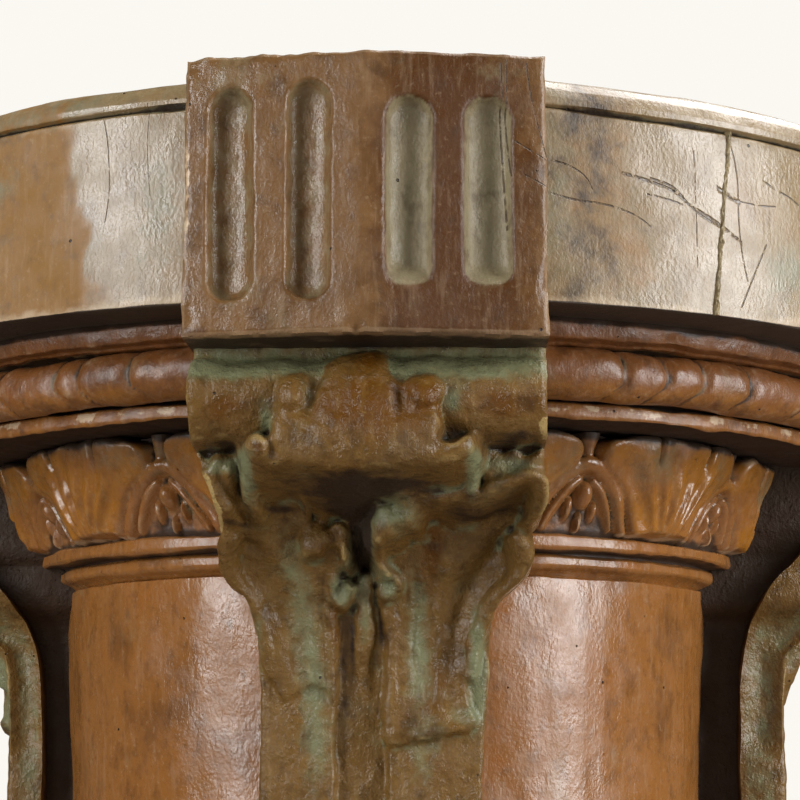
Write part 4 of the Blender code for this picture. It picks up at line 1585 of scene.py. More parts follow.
@dataclass
class LeafBracket:
    """A bracket under a block: a roll with a curled leaf tip, and two leaves on a channelled rib.

    Its lines and outlines give (side, depth below the block, distance out from the shaft, width).
    """

    sizes: ColumnSizes
    roll_radius: float = 10.2
    roll_overhang: float = 74.5
    roll_depth: float = 13.0
    roll_half_width: float = 43.4
    neck_overhang: float = 75.5
    band_overhang: float = 67.0
    channel_centre: float = -2.6
    channel_half: float = 6.7
    lip: float = 14.0
    web_inset: float = 7.8
    length: float = 265.0
    pendant: float = 30.0
    top_depth: float = -4.0
    fine_depth: float = 112.0
    slim: float = 0.0
    edge_round: float = 1.3
    tip_bow: float = 0.0055
    flank_scoop: float = 2.6
    front_grid: tuple[int, int, int] = (160, 200, 40)
    grid: tuple[int, int, int] = (112, 140, 36)
    flank_shares: tuple[float, ...] = (0.0, 0.1, 0.28, 0.46, 0.64, 0.82, 1.0)
    left: tuple[Point, ...] = (
        (-4, 41.6), (24, 41.6), (27, 40.6), (30, 40), (33, 38.8), (38.7, 37.1), (45, 38.8), (51, 38.8),
        (54.5, 37), (58, 32.4), (63.7, 30.6), (79, 29.7), (110, 29.1), (235, 29), (265, 12))
    right: tuple[Point, ...] = (
        (-4, 44.8), (24, 44.8), (28, 45), (34.7, 45.6), (39, 44.2), (41.4, 42.3), (46, 43.1),
        (50, 42.4), (53.6, 40.4), (58.6, 34.4), (66, 32), (81.8, 31), (110, 29.4), (235, 29), (265, 12))
    rim: tuple[Point, ...] = (
        (-44, 39), (-37, 39.6), (-33, 38.8), (-29.5, 37.8), (-27, 37.4), (-25, 35.6), (-22.5, 33.4),
        (-19, 33.4), (-16.5, 35.4), (-15, 38.4), (-13.6, 43.4), (-10.5, 41.4), (-7, 40.4), (-5, 41.6),
        (-3, 45), (1, 45), (3, 43.6), (7, 42.6), (12.4, 41.6), (13.2, 38.6), (14.6, 36.2), (18, 34.6),
        (22, 34.2), (26, 34.2), (29.2, 32.6), (33, 32.2), (36.6, 30.2), (41, 28.8), (44.4, 30.4),
        (48, 33))
    left_hollow: tuple[Point, ...] = (
        (28, 56), (34, 54.5), (38, 51), (42, 46.6), (46, 42.6), (50, 39), (54, 36), (58, 33.2),
        (64, 30), (74, 26.8), (80, 25.2), (86, 24), (110, 23.4), (265, 23.4))
    right_hollow: tuple[Point, ...] = (
        (28, 64), (31, 60), (34, 55.5), (37, 50), (40, 45), (44, 40.4), (48, 37), (52, 34.2),
        (57, 31.2), (64, 28.6), (74, 26.6), (86, 25.6), (110, 25), (265, 25))
    pilaster: tuple[Point, ...] = (
        (28, 52), (40, 40), (50, 31), (57, 27.4), (64, 25.2), (74, 23.8), (86, 23), (110, 22.5),
        (265, 22.5))
    channel: tuple[Point, ...] = (
        (28, 52), (35, 50), (38, 46), (41, 34), (45, 26), (50, 24.5), (54, 26), (58, 27), (65, 25.2),
        (80, 21.6), (96, 19.6), (110, 18.8), (265, 18.5))
    leaf_outlines: tuple[Line, ...] = (
        Line(((-4.8, 44), (-5, 41.6), (-7.2, 40.4), (-9.6, 41), (-12, 43), (-13.4, 43.8), (-14.4, 41),
            (-15.2, 37.8), (-17, 35), (-19.6, 33.4), (-22.6, 33.4), (-25, 35.6), (-27.4, 37.6),
            (-31, 38.4), (-35, 39.2), (-39, 39.6), (-52, 39), (-54, 47), (-52, 56), (-35.5, 57.6),
            (-31.4, 60.6), (-28.6, 66.3), (-26.6, 74), (-25.4, 80), (-23.4, 84.6), (-18.3, 82.4),
            (-13.1, 80.6), (-9.2, 85.2), (-9.4, 72), (-9.6, 62), (-9.8, 57), (-7.4, 52.6),
            (-5.4, 48.6)), closed=True),
        Line(((2, 46.4), (3, 44.2), (7, 43.2), (12.6, 42), (12.9, 39.4), (14.2, 36.4), (17, 34.8),
            (22, 34.2), (26, 34.2), (29.2, 32.6), (33, 32.2), (36.6, 30.2), (41, 28.8), (44.6, 30.6),
            (53, 32), (54, 44), (52, 56), (39.5, 57.6), (34.2, 60.8), (30.2, 65), (27.4, 70.6),
            (25.6, 76.7), (26, 84.4), (28.6, 90), (26.2, 92.2), (21, 93.8), (13.1, 94.8), (4.8, 96.2),
            (4.4, 85), (4.2, 66), (4.6, 60), (7.2, 56), (6, 52.4), (3.2, 51)), closed=True))
    crests: tuple[Line, ...] = (
        Line(((-37.6, 30, 67, 2.4), (-36.6, 34, 66, 2.6), (-34.6, 37, 64, 2.2))),
        Line(((-35, 42.6, 49.5, 2), (-36.2, 46.4, 46, 2.4), (-35.8, 51, 41.8, 2.6),
            (-33.4, 55.6, 37.8, 2.4), (-29.8, 61, 33.4, 2), (-27.6, 68, 29.6, 1.8),
            (-26, 78, 26, 1.6))),
        Line(((13.2, 41.2, 52, 1.1), (13.8, 38, 58, 1.3), (16.4, 35.8, 63, 1.5), (22, 34.8, 65.5, 1.6),
            (27, 34.4, 66.5, 1.6), (31.4, 32.8, 67.5, 1.8), (36, 31.4, 69, 2), (40.6, 30.4, 70, 2.2),
            (43.4, 32, 69, 2.2), (43.9, 35.4, 65, 2), (42.6, 38.8, 60, 1.7), (41, 41, 56, 1.2))),
        Line(((39, 44, 48, 2), (40.2, 47.4, 46, 2.6), (39.4, 51.6, 42.6, 2.8), (36.2, 56, 38.8, 2.4),
            (31.6, 61.2, 34, 2.2), (28.2, 68, 30, 1.9), (26.4, 78, 27.2, 1.7))),
        Line(((3.2, 45.6, 48, 1.3), (3.4, 49.4, 43, 1.3), (5, 52, 40.5, 1.2))),
        Line(((-8.9, 52.8, 38, 1), (-10, 55.4, 36, 1), (-9.5, 58.4, 33.6, 1), (-7.2, 60.4, 32.2, 1),
            (-4.9, 58.6, 33, 1), (-4.2, 56, 34, 1))),
        Line(((3, 52.6, 37.6, 1), (5.4, 51.6, 38.6, 1), (7.4, 53.6, 37.2, 1), (7.2, 57, 34.6, 1),
            (4.8, 58.8, 33.4, 1))),
        Line(((-1.2, 53, 32, 2), (-1.4, 58, 31.4, 2.6), (-1.4, 65, 28.6, 2.6), (-1.4, 74, 24.8, 2.2),
            (-1.3, 84, 20.6, 1.6))),
        Line(((-10.2, 62, 30.2, 1.8), (-10.4, 70, 27.2, 1.8), (-10, 84, 23.8, 1.6))),
        Line(((5.8, 61, 30.4, 1.8), (5.8, 70, 27.8, 1.8), (5.8, 90, 25.4, 1.7))),
        Line(((5.4, 93.6, 25.6, 1.1), (13.1, 92.8, 26.1, 1.5), (21, 92, 26.3, 1.5),
            (26.4, 90, 26.2, 1.2))),
        Line(((26.8, 24.4, 82, 1.5), (27, 28.5, 76, 1.4), (26.8, 33.8, 68, 1.3))),
        Line(((-28.4, 24, 76, 2.2), (-28.8, 29.5, 71.5, 2.2), (-28, 33.4, 68, 1.8),
            (-27.2, 36.8, 63, 1))))
    cuts: tuple[Line, ...] = (
        Line(((44, 41.6, 6, 1.8), (38, 43.2, 4, 1.8), (31, 47.4, 2, 2.2), (25, 55, 1, 2.4),
            (22, 64, 0.5, 2.2))),
        Line(((-39, 41.4, 4, 1.5), (-33, 43.6, 2.4, 1.8), (-27, 48, 1.5, 2.2), (-22, 56, 0.8, 2.2))),
        Line(((30, 38, 2, 4.6), (21, 41, 2.2, 4.4), (16.5, 47, 1.2, 3.4), (14.6, 56, 0.8, 2.4),
            (14.4, 70, 0.8, 1.8), (14.4, 86, 0.6, 1.8))),
        Line(((36, 47, 2, 3.6), (30, 52, 2, 3.6), (24.5, 60, 1.8, 3), (21.4, 72, 1.2, 2.6),
            (21, 86, 0.9, 2.4))),
        Line(((-30, 42, 1.2, 3.6), (-22, 43, 1.8, 4), (-17, 49, 1.6, 3.4), (-14.8, 58, 1.1, 2.4),
            (-14.4, 76, 0.9, 1.8))),
        Line(((-33, 48.5, 1.6, 3), (-27, 55, 1.8, 3.4), (-22, 64, 1.5, 2.8), (-19.6, 78, 1, 2.2))),
        Line(((10.4, 46, 0.3, 0.9), (12, 56, 0.9, 0.8), (12, 70, 0.9, 0.7), (11.8, 84, 0.5, 0.7))),
        Line(((17.6, 48, 0.3, 0.7), (17, 58, 0.8, 0.7), (16.6, 84, 0.5, 0.7))),
        Line(((-11.6, 48, 0.4, 0.7), (-11.9, 58, 0.8, 0.7), (-11.7, 80, 0.6, 0.7))))
    bumps: tuple[Oval, ...] = (
        Oval(6.4, 40.6, 2.4, 2, 1.2), Oval(10.8, 40.4, 1.4, 1.6, 1), Oval(-13.2, 44.6, 3, 3, 1.6),
        Oval(-6, 42.6, 1.2, 1.4, 0.8), Oval(7.8, 42.8, 1, 1, -1.4), Oval(18.6, 45, 4, 7, 0.9),
        Oval(4, 38, 1.4, 1.2, 1.2), Oval(9.4, 37.6, 1.2, 1.2, -1), Oval(-23, 38.6, 8, 2.2, -1.6),
        Oval(1.4, 56.4, 1.2, 2.4, 1.5), Oval(-4.4, 55.4, 1.3, 3, 3.4), Oval(-33, 14, 5, 4, 0.5),
        Oval(-36.8, 29.4, 2.4, 2, 1.2), Oval(-33.4, 31.6, 1.9, 2.2, 1.3), Oval(-24, 32, 2.6, 2, 1.6),
        Oval(-20.6, 31.8, 2, 1.8, 1.2), Oval(15.6, 32.6, 2.2, 1.8, 2), Oval(24.4, 30, 1.6, 2.6, 2.4),
        Oval(19.6, 32.2, 2, 1.6, 1), Oval(-31, 32, 0.9, 5.6, -5), Oval(29, 29.6, 0.8, 4.4, -5),
        Oval(22.4, 17.6, 2.4, 1, 1.6), Oval(-41, 22, 1.2, 1.6, -1.4), Oval(-38.6, 24, 1.6, 1.2, -1.2),
        Oval(-34, 24.4, 1.4, 0.9, -1), Oval(40, 24, 2, 1, -1.2), Oval(34.6, 23.6, 1.4, 0.8, -0.8),
        Oval(44, 12, 0.9, 1.6, -0.9), Oval(-24.6, 11, 0.7, 0.7, -1.6), Oval(-32, 15.2, 0.8, 0.8, -1.8),
        Oval(-40.6, 6, 1, 1.8, -0.9), Oval(-22.4, 19.6, 1.8, 3, -1.6), Oval(-39.6, 16, 2, 6, -1.2))
    bosses: tuple[tuple[Line, float, float], ...] = (
        (Line(((1.4, 43.6), (0.9, 39.8), (2.6, 36.2), (6, 34.4), (9.4, 34.4), (11.8, 37), (12.9, 41.4),
            (10.8, 41.6), (9.2, 42.8), (7.4, 44), (5, 44.8), (2.8, 45.8)), closed=True), 57, 3.4),
        (Line(((-4.6, 45.2), (-4.5, 42.2), (-6.4, 40.2), (-9.2, 40.4), (-12, 42.6), (-13.4, 44.6),
            (-11, 45.8), (-8.6, 45.6), (-7, 47), (-5.6, 50)), closed=True), 46.6, 2.4),
        (Line(((-17, 38), (-12, 38.6), (-10.4, 43), (-11.6, 47.6), (-16.6, 47.6)),
            closed=True), 46.4, 2),
        (Line(((-9.9, 54), (-9.8, 58.4), (-7.2, 60.8), (-4.8, 58.8), (-4.4, 55), (-7, 52.6)),
            closed=True), 33.6, 1.2),
        (Line(((2.6, 53.2), (5.2, 51.2), (7.6, 53.6), (7.4, 57.2), (4.8, 59.2), (2.6, 57.2)),
            closed=True), 34.6, 1.2),
        (Line(((18.4, 17.6), (22, 18), (26, 20), (27.4, 24), (27, 30), (18, 30)), closed=True), 80, 3),
        (Line(((-27.6, 22.6), (-24, 19.6), (-19.4, 17.4), (-18.4, 30), (-28, 30)), closed=True), 79, 3))
    tip_outline: Line = Line(
        ((0.5, 2.2), (4.5, 2.4), (6.6, 5), (7.9, 8.6), (10.2, 10.4), (13, 8.8), (16, 8.2), (18.6, 9.4),
        (19.7, 11.8), (18.9, 14.5), (18.7, 17.5), (18.9, 20.5), (18.6, 24.4), (21.5, 25.2),
        (24.6, 23.6), (26.8, 22.6), (27.8, 24), (27.6, 27.4), (24, 29.2), (15, 30.4), (5, 31.4),
        (-5, 31.6), (-15, 30.8), (-22, 30), (-25.8, 29), (-26.9, 26.6), (-26.2, 23.8), (-24.2, 23),
        (-22, 24.4), (-20.6, 22.4), (-20.5, 20), (-19.5, 17.6), (-20.2, 14.4), (-19.4, 11),
        (-17.4, 8.8), (-14.6, 7.6), (-12.4, 8.8), (-10.8, 11), (-9.2, 9), (-8.6, 5.6), (-6, 3.4),
        (-2.5, 2.2)), closed=True, parts=4)
    tip_rise: tuple[Point, ...] = (
        (0, 78), (2, 79.8), (5, 83.6), (8, 86.2), (13, 88.6), (18, 90), (24, 90.9), (28, 90.4),
        (31, 88.6), (36, 84))
    tip_bumps: tuple[Oval, ...] = (
        Oval(-16.4, 12.6, 3.8, 4.6, 2.9, Relief.DOME), Oval(-24, 26, 2.8, 3, 1.8, Relief.DOME),
        Oval(15.6, 12.6, 4.2, 4.2, 2.1, Relief.DOME), Oval(24.6, 26.4, 3.4, 2.4, 1),
        Oval(-11.2, 14, 1.6, 5, -2.3), Oval(9.8, 14.6, 1.6, 5.6, -2.1), Oval(-1.2, 12, 1.2, 9, 0.9),
        Oval(-18.6, 22.6, 2, 2.6, 0.9), Oval(-21, 27, 1.1, 2.6, -1.6), Oval(-7, 6, 1.6, 2.6, -0.9),
        Oval(4, 7, 1.4, 3.6, 0.5), Oval(17.4, 21.6, 1.6, 3.6, 0.7), Oval(-13.4, 17.4, 2.6, 1.4, -0.9),
        Oval(14, 18, 2.6, 1.4, -0.7), Oval(19.6, 26.4, 1.6, 1.2, -1.2))
    amber: tuple[Oval, ...] = (
        Oval(2, 17, 16, 9, 0.9), Oval(3, 4.5, 3.4, 3.4, 0.8), Oval(15, 14, 4, 5, 0.6),
        Oval(-33, 16, 6, 4, 0.8), Oval(36, 15, 9, 4, 0.9), Oval(17, 45, 2.6, 7, 1.1),
        Oval(-24.4, 27, 2.4, 2, 0.9), Oval(13, 52, 2.4, 4, 0.6), Oval(-12, 46, 2, 4, 0.5),
        Oval(-9, 66, 1.6, 14, 0.5), Oval(19, 82, 4, 10, 0.4))
    green: tuple[Oval, ...] = (
        Oval(-33, 5.4, 9, 3, 0.8), Oval(-14, 4.6, 8, 2, 0.6), Oval(28, 5.4, 18, 3.2, 0.55),
        Oval(9.6, 5.6, 2.6, 3.2, 0.8), Oval(-22.5, 19, 2, 5, 0.9), Oval(-34, 28, 7, 2.6, 0.8),
        Oval(-28.4, 31, 2.4, 6, 1), Oval(22, 14.6, 2.4, 3.6, 0.9), Oval(36, 28, 8, 2.6, 0.7),
        Oval(27, 31, 1.8, 4.6, 1.1), Oval(6.4, 38.4, 6.4, 5, 0.9), Oval(-2, 46, 4, 8, 0.8),
        Oval(-7.2, 56.4, 3, 4.2, 1.1), Oval(5, 55.4, 2.8, 3.6, 1), Oval(-1.2, 62, 2, 9, 0.65),
        Oval(1.6, 78, 2, 10, 0.3), Oval(28.4, 75, 2.4, 13, 1.2), Oval(26, 88, 5, 5, 0.5),
        Oval(-20, 50, 5, 9, 0.5), Oval(-17.4, 64, 4.2, 9, 0.6), Oval(-14.6, 80, 4.4, 12, 0.7),
        Oval(-14, 98, 4.4, 10, 0.6), Oval(12.4, 60, 3.2, 11, 0.55), Oval(12.8, 76, 3.6, 11, 0.65),
        Oval(14, 98, 5, 8, 0.5), Oval(-29, 68, 1.6, 9, 0.5))
    dark_and_shade: tuple[Oval, ...] = (
        Oval(-1.6, 44, 2.6, 7, 1.2), Oval(-3, 37.5, 7, 2.2, 0.6), Oval(-4.6, 68, 0.8, 9, 0.45),
        Oval(3, 64, 0.8, 6, 0.3), Oval(28, 38, 13, 3, 0.4), Oval(36, 22.8, 9, 1.6, 0.5),
        Oval(-34, 23.4, 6, 1.4, 0.4), Oval(0, -1.5, 46, 1.6, 0.8), Oval(0, 33.6, 19, 2.2, 0.8),
        Oval(22.4, 22.4, 3, 2.2, 0.35), Oval(-20, 37, 7, 0.8, 0.5), Oval(-7, 76, 1.5, 16, 0.3),
        Oval(4.6, 72, 1.3, 14, 0.28), Oval(-27, 54, 4, 9, 0.22), Oval(27, 52, 6, 8, 0.22),
        Oval(0, 16, 0.7, 8, 0.2), Oval(8, 24, 8, 4, 0.15), Oval(36, 17, 7, 4, 0.15),
        Oval(-33, 40.4, 5, 0.8, 0.5))
    wear_and_highlight: tuple[Oval, ...] = (
        Oval(-39.4, 35, 1.9, 4.2, 2.6), Oval(-37.4, 39, 1.6, 2.4, 2), Oval(44.6, 20.4, 1.4, 2, 1.4))

    def overhang(self, depth: Array) -> Array:
        """Give how far the bracket's plain face stands out.

        Args:
            depth: Depths below the block.

        Returns:
            Distances from the shaft in millimetres.
        """
        beside = np.sqrt(np.clip(self.roll_radius**2 - (depth - self.roll_depth) ** 2, 0.0, None))
        roll = np.where(beside > 0, self.roll_overhang + beside, 0.0)
        neck = np.where(depth < self.roll_depth, self.neck_overhang, self.band_overhang)
        neck = np.where(depth < 30.0, neck, along(self.pilaster, depth))
        ends = np.sqrt(ramp(self.length, self.length - self.pendant, depth))
        return mix(-3.0, np.maximum(roll, neck), ends)

    def face(self, side: Array, depth: Array, seed: int) -> Array:
        """Give the carved face's distance out from the shaft.

        Args:
            side: Distances to the side.
            depth: Depths below the block.
            seed: Chooses the small unevenness of this bracket.

        Returns:
            Distances in millimetres.
        """
        flat = np.stack([side, depth], -1)
        left, right = along(self.left, depth), along(self.right, depth)
        margin = np.minimum(side + left, right - side)
        side = side + 0.35 * waves(flat, 14.0, seed) * ramp(0.0, 8.0, margin)
        depth = depth + 0.35 * waves(flat, 12.0, seed + 1)
        carved = ramp(112.0, 104.0, depth)
        off = np.abs(side - self.channel_centre)
        beside_channel = ramp(self.channel_half - 0.5, self.channel_half + 0.7, off)
        ground = mix(along(self.channel, depth), along(self.pilaster, depth), beside_channel)
        ends = ramp(self.length, self.length - self.pendant, depth)
        ground = mix(-3.0, mix(along(self.pilaster, depth), ground, ends), np.sqrt(ends))
        leaf = mix(along(self.left_hollow, depth), along(self.right_hollow, depth), ramp(-8.0, 8.0, side))
        for cut in self.cuts:
            leaf -= cut.groove(side, depth)
        band = self.band_overhang - 0.9 * np.maximum(depth - 30.0, 0.0) + 0.9 * waves(flat, 7.0, seed + 3)
        sunk_band = band - 14.0 * ramp(33.0, 38.0, depth)
        band = np.where(np.abs(side - self.channel_centre + 1.0) < 11.0, sunk_band, band)
        ground = np.maximum(ground, mix(band, 0.0, ramp(-1.0, 1.5, depth - along(self.rim, side))))
        for outline in self.leaf_outlines:
            plate = outline.plate(side, depth, leaf, 1.2, 6.0)
            ground = np.maximum(ground, np.where(carved > 0, plate, 0.0))
        for crest in self.crests:
            rod = crest.rod(side, depth, 5.0)
            ground = join(ground, np.where(carved > 0, rod, 0.0), 1.2)
        for outline, top, edge in self.bosses:
            ground = join(ground, outline.plate(side, depth, np.full_like(side, top), edge, 5.0), 0.8)
        for bump in self.bumps:
            ground = ground + bump.height(side, depth)
        beside = np.sqrt(np.clip(self.roll_radius**2 - (depth - self.roll_depth) ** 2, 0.0, None))
        head = np.where(depth < self.roll_depth, self.neck_overhang, 0.0)
        face = np.maximum(np.maximum(ground, head), np.where(beside > 0, self.roll_overhang + beside, 0.0))
        top = along(self.tip_rise, depth) - self.tip_bow * side * side
        for bump in self.tip_bumps:
            top += bump.height(side, depth)
        face = join(face, self.tip_outline.plate(side, depth, top, 1.4, 5.5), 0.5)
        inside = np.clip(1.0 - margin / self.edge_round, 0.0, 1.0)
        return face - self.edge_round * (1.0 - np.sqrt(1.0 - inside * inside)) - self.slimmer(depth)

    def slimmer(self, depth: Array) -> Array:
        """Give how much less this bracket stands out than its fellows below its roll."""
        return self.slim * ramp(36.0, 76.0, depth) * ramp(self.length, self.length - 90.0, depth)

    def flank(self, over: Array, depth: Array, front: Array, layer: Array) -> tuple[Array, Array]:
        """Give the places of the layers behind the carved face.

        Args:
            over: From -1 to 1 across.
            depth: Depths below the block.
            front: The carved face's distance out.
            layer: Which layer each vertex is in, 0 on the face.

        Returns:
            Distances to the side and out from the shaft.
        """
        s = self.sizes
        half = np.where(over < 0, along(self.left, depth), along(self.right, depth))
        buried = math.sqrt(s.shaft_radius**2 - self.roll_half_width**2) - 3.0 - s.shaft_radius
        back = np.maximum(self.overhang(depth) - self.lip - 0.55 * self.slimmer(depth), buried + 3.0)
        back = mix(buried + 3.0, back, ramp(self.length, self.length - self.pendant, depth))
        back = np.minimum(back, front - 0.5)
        last = len(self.flank_shares) - 1
        share = np.array(list(self.flank_shares) + [1.0, 1.0])[layer]
        scoop = (self.flank_scoop * np.sin(math.pi * np.clip(share, 0, 1)) ** 1.5
                 * ramp(56.0, 64.0, depth) * ramp(104.0, 92.0, depth))
        inset = np.where(layer > last, self.web_inset, 0.0) + scoop
        out = np.where(layer > last + 1, buried, mix(front, back, share))
        return over * (half - inset), out

    def build(self, material: bpy.types.Material, name: str, turn: int) -> bpy.types.Object:
        """Model the bracket at the front and turn it round the column.

        Args:
            material: Its finish.
            name: Which side it stands on.
            turn: Quarter turns from the front.

        Returns:
            The finished bracket.
        """
        s = self.sizes
        # The front bracket's mesh is the finest, and every one is finer in its carved upper part.
        columns, fine, plain = self.front_grid if turn == 0 else self.grid
        sheet = Sheet(columns, fine + plain, len(self.flank_shares) + 1)
        piece = Piece(f"leaf_bracket_{name}", sheet.shape())
        row, column, layer = sheet.index(piece.places)
        down = np.concatenate([np.linspace(self.top_depth, self.fine_depth, fine + 1),
                               np.linspace(self.fine_depth, self.length, plain + 1)[1:]])
        over = np.linspace(-1.0, 1.0, sheet.columns + 1)
        across, depth = np.meshgrid(over, down)
        side = np.where(across < 0, across * along(self.left, depth), across * along(self.right, depth))
        face = smoothed(self.face(side, depth, 70 + 10 * turn), 1)
        depth, front = depth[row, column], face[row, column]
        side, out = self.flank(across[row, column], depth, front, layer)
        piece.places = np.stack([side, -(s.shaft_radius + out), s.block_bottom - depth], 1)
        piece.face_out()
        piece.roughen((17.0, 0.3, 170 + turn), (6.0, 0.14, 175 + turn), (2.6, 0.04, 179 + turn))
        shown = layer == 0
        piece.stain("amber", stains(self.amber, side, depth) * shown)
        scooped = (layer > 1) * (layer < len(self.flank_shares) - 1) * ramp(50.0, 62.0, depth)
        beside_tip = (ramp(1.4, 0.5, front - self.overhang(depth)) * ramp(12.0, 7.5, depth)
                      * ramp(-3.0, -1.0, depth))
        piece.stain("green", (stains(self.green, side, depth) + 0.52 * beside_tip) * shown + 0.45 * scooped)
        # Painted shade: the web behind the face, and ovals under the block, the tip and the rim, in the
        # hole and the channel; two faint ones darken the outer leaves.
        shaded_web = layer > len(self.flank_shares) - 1
        piece.stain("dark_and_shade", np.where(shaded_web, 0.85, stains(self.dark_and_shade, side, depth) * shown))
        piece.stain("wear_and_highlight", stains(self.wear_and_highlight, side, depth) * (turn == 0))
        piece.mark_hollows(full=0.4, keep=np.where(layer > 0, 0.25, 1.0))
        piece.turn_round(turn, s.block_count)
        return piece.finish(material)


@dataclass
class Studio:
    """A pale floor, a near-white surround and large soft lights at the sides and above."""

    sizes: ColumnSizes
    floor_colour: str = "#f1ede6"
    floor_glow: str = "#7d7268"
    floor_radius: float = 4.0
    floor_drop: float = 0.0005
    surround: str = "#fbf8f2"
    dim: float = 0.16

    def floor(self) -> None:
        """Lay a plain floor under the column, pale to the eye but sending little light up."""
        shape = bmesh.new()
        bmesh.ops.create_circle(shape, cap_ends=True, segments=96, radius=self.floor_radius)
        bmesh.ops.translate(shape, verts=shape.verts, vec=(0, 0, -self.floor_drop))
        mesh = bpy.data.meshes.new("floor")
        shape.to_mesh(mesh)
        shape.free()
        floor = bpy.data.objects.new("floor", mesh)
        bpy.context.scene.collection.objects.link(floor)
        material = bpy.data.materials.new("matt_floor")
        material.use_nodes = True
        tree = material.node_tree
        shader = tree.nodes["Principled BSDF"]
        seen = add_node(tree, "LightPath").outputs["Is Camera Ray"]
        colours = {6: linear(self.floor_glow), 7: linear(self.floor_colour)}
        colour = add_node(tree, "Mix", {"Factor": seen, **colours}, data_type="RGBA").outputs[2]
        tree.links.new(colour, shader.inputs["Base Color"])
        # Fully matt, so that the floor mirrors neither the column nor the lights.
        shader.inputs["Roughness"].default_value = 1.0
        mesh.materials.append(material)

    def world(self) -> None:
        """Surround the column with near white, dimmer for its light than to the eye."""
        world = bpy.data.worlds.new("surround")
        bpy.context.scene.world = world
        world.use_nodes = True
        tree = world.node_tree
        seen = add_node(tree, "LightPath").outputs["Is Camera Ray"]
        mirrored = add_node(tree, "LightPath").outputs["Is Glossy Ray"]
        unseen = add_node(tree, "MapRange", {"Value": mirrored, "To Min": self.dim,
                                             "To Max": self.dim / 3}).outputs[0]
        strength = add_node(tree, "MapRange", {"Value": seen, "To Min": unseen, "To Max": 1.0}).outputs[0]
        ground = tree.nodes["Background"]
        ground.inputs["Color"].default_value = linear(self.surround)
        tree.links.new(strength, ground.inputs["Strength"])

    def softbox(self, name: str, turn: float, rise: float, distance: float, width: float,
                height: float, radiance: float, mirrored: bool = True) -> None:
        """Hang a soft light that faces the column's head.

        Args:
            name: Its name.
            turn: Degrees round from the front.
            rise: Degrees over the head.
            distance: Metres from it.
            width: Metres across.
            height: Metres high.
            radiance: How bright its face is, where the surround is 1.
            mirrored: Whether glossy surfaces reflect it.
        """
        data = bpy.data.lights.new(name, "AREA")
        data.shape = "RECTANGLE"
        data.size, data.size_y = width, height
        data.energy = radiance * math.pi * width * height
        light = bpy.data.objects.new(name, data)
        light.visible_glossy = mirrored
        bpy.context.scene.collection.objects.link(light)
        head = Vector((0.0, 0.0, self.sizes.block_bottom * MM))
        around, up = math.radians(turn), math.radians(rise)
        flat, above = math.cos(up) * distance, math.sin(up) * distance
        light.location = head + Vector((math.sin(around) * flat, -math.cos(around) * flat, above))
        light.rotation_euler = (head - light.location).to_track_quat("-Z", "Y").to_euler()

    def build(self) -> None:
        """Set up the floor, the surround and the lights."""
        self.floor()
        self.world()
        self.softbox("left_softbox", -50.0, 12.0, 1.7, 0.42, 1.3, 13.0)
        self.softbox("right_softbox", 64.0, 10.0, 1.7, 0.62, 1.3, 13.0)
        self.softbox("front_glow", -21.0, 15.0, 1.9, 0.42, 0.8, 2.4)
        self.softbox("low_glow", 0.0, -24.0, 1.6, 1.8, 0.9, 1.0, mirrored=False)
        self.softbox("top_softbox", 115.0, 60.0, 1.8, 1.4, 1.2, 9.0)


@dataclass
class Viewpoint:
    """The photograph's view: close to the column's head, from a little below it."""

    sizes: ColumnSizes
    photo_size: int = 800
    focal_pixels: float = 1947.0
    sensor: float = 36.0
    distance: float = 645.0
    below_top: float = 163.4
    turn: float = 2.0
    pitch: float = 9.69
    axis_pixel: float = 387.0

    def build(self) -> None:
        """Place the camera."""
        data = bpy.data.cameras.new("camera")
        data.sensor_width = self.sensor
        data.lens = self.focal_pixels / self.photo_size * self.sensor
        data.clip_start = 0.01
        camera = bpy.data.objects.new("camera", data)
        bpy.context.scene.collection.objects.link(camera)
        around = math.radians(self.turn)
        yaw = math.atan((self.photo_size / 2 - self.axis_pixel) / self.focal_pixels)
        camera.location = Vector((math.sin(around) * self.distance, -math.cos(around) * self.distance,
                                  self.sizes.column_height - self.below_top)) * MM
        tilt = Matrix.Rotation(math.radians(90 + self.pitch), 4, "X")
        aim = Matrix.Rotation(around - yaw, 4, "Z") @ tilt
        camera.rotation_euler = aim.to_euler()
        bpy.context.scene.camera = camera


SLAB_SCRATCHES = (
    Scratch(((15.1, 22.3), (16.7, 23.4), (18.7, 29.2))),
    Scratch(((15.1, 30.8), (17.3, 32.1), (19.2, 32.4), (21.4, 33.6), (23.8, 37.3))),
    Scratch(((21.2, 24), (23.8, 25.3), (25.8, 26.9), (27.5, 30.3), (30, 33.8), (32.7, 38.5)), 0.9),
    Scratch(((23.8, 24.5), (25.8, 25.9), (27.3, 29.8), (28.5, 32.5), (30.7, 35.1)), 0.7),
    Scratch(((23.5, 28.8), (25.4, 29.5), (26.9, 30.5))),
    Scratch(((30.2, 24.6), (31.2, 26.1), (32.6, 27.6)), 1.3),
    Scratch(((32.4, 27.4), (34.9, 27.4), (36.6, 26.8)), 0.35),
    Scratch(((35.2, 20.2), (36.7, 22.2), (38.2, 23.3), (39.7, 25.2), (43, 27)), 0.5),
    Scratch(((31.5, 9.3), (32.2, 17.6), (32.5, 37.6), (33.2, 48.4)), 0.35, upright=True),
    Scratch(((35.3, 37.7), (33.7, 47.7), (32.5, 55.6)), 0.4, upright=True),
    Scratch(((28, 15.4), (28.1, 28.7), (28.1, 47.1)), 0.25, upright=True),
    Scratch(((-21.8, 8.7), (-21.3, 19.5), (-21.3, 30), (-21.6, 35.7)), 0.22, upright=True),
    Scratch(((-17.6, 6), (-17.8, 16), (-17.5, 30)), 0.12, upright=True),
)
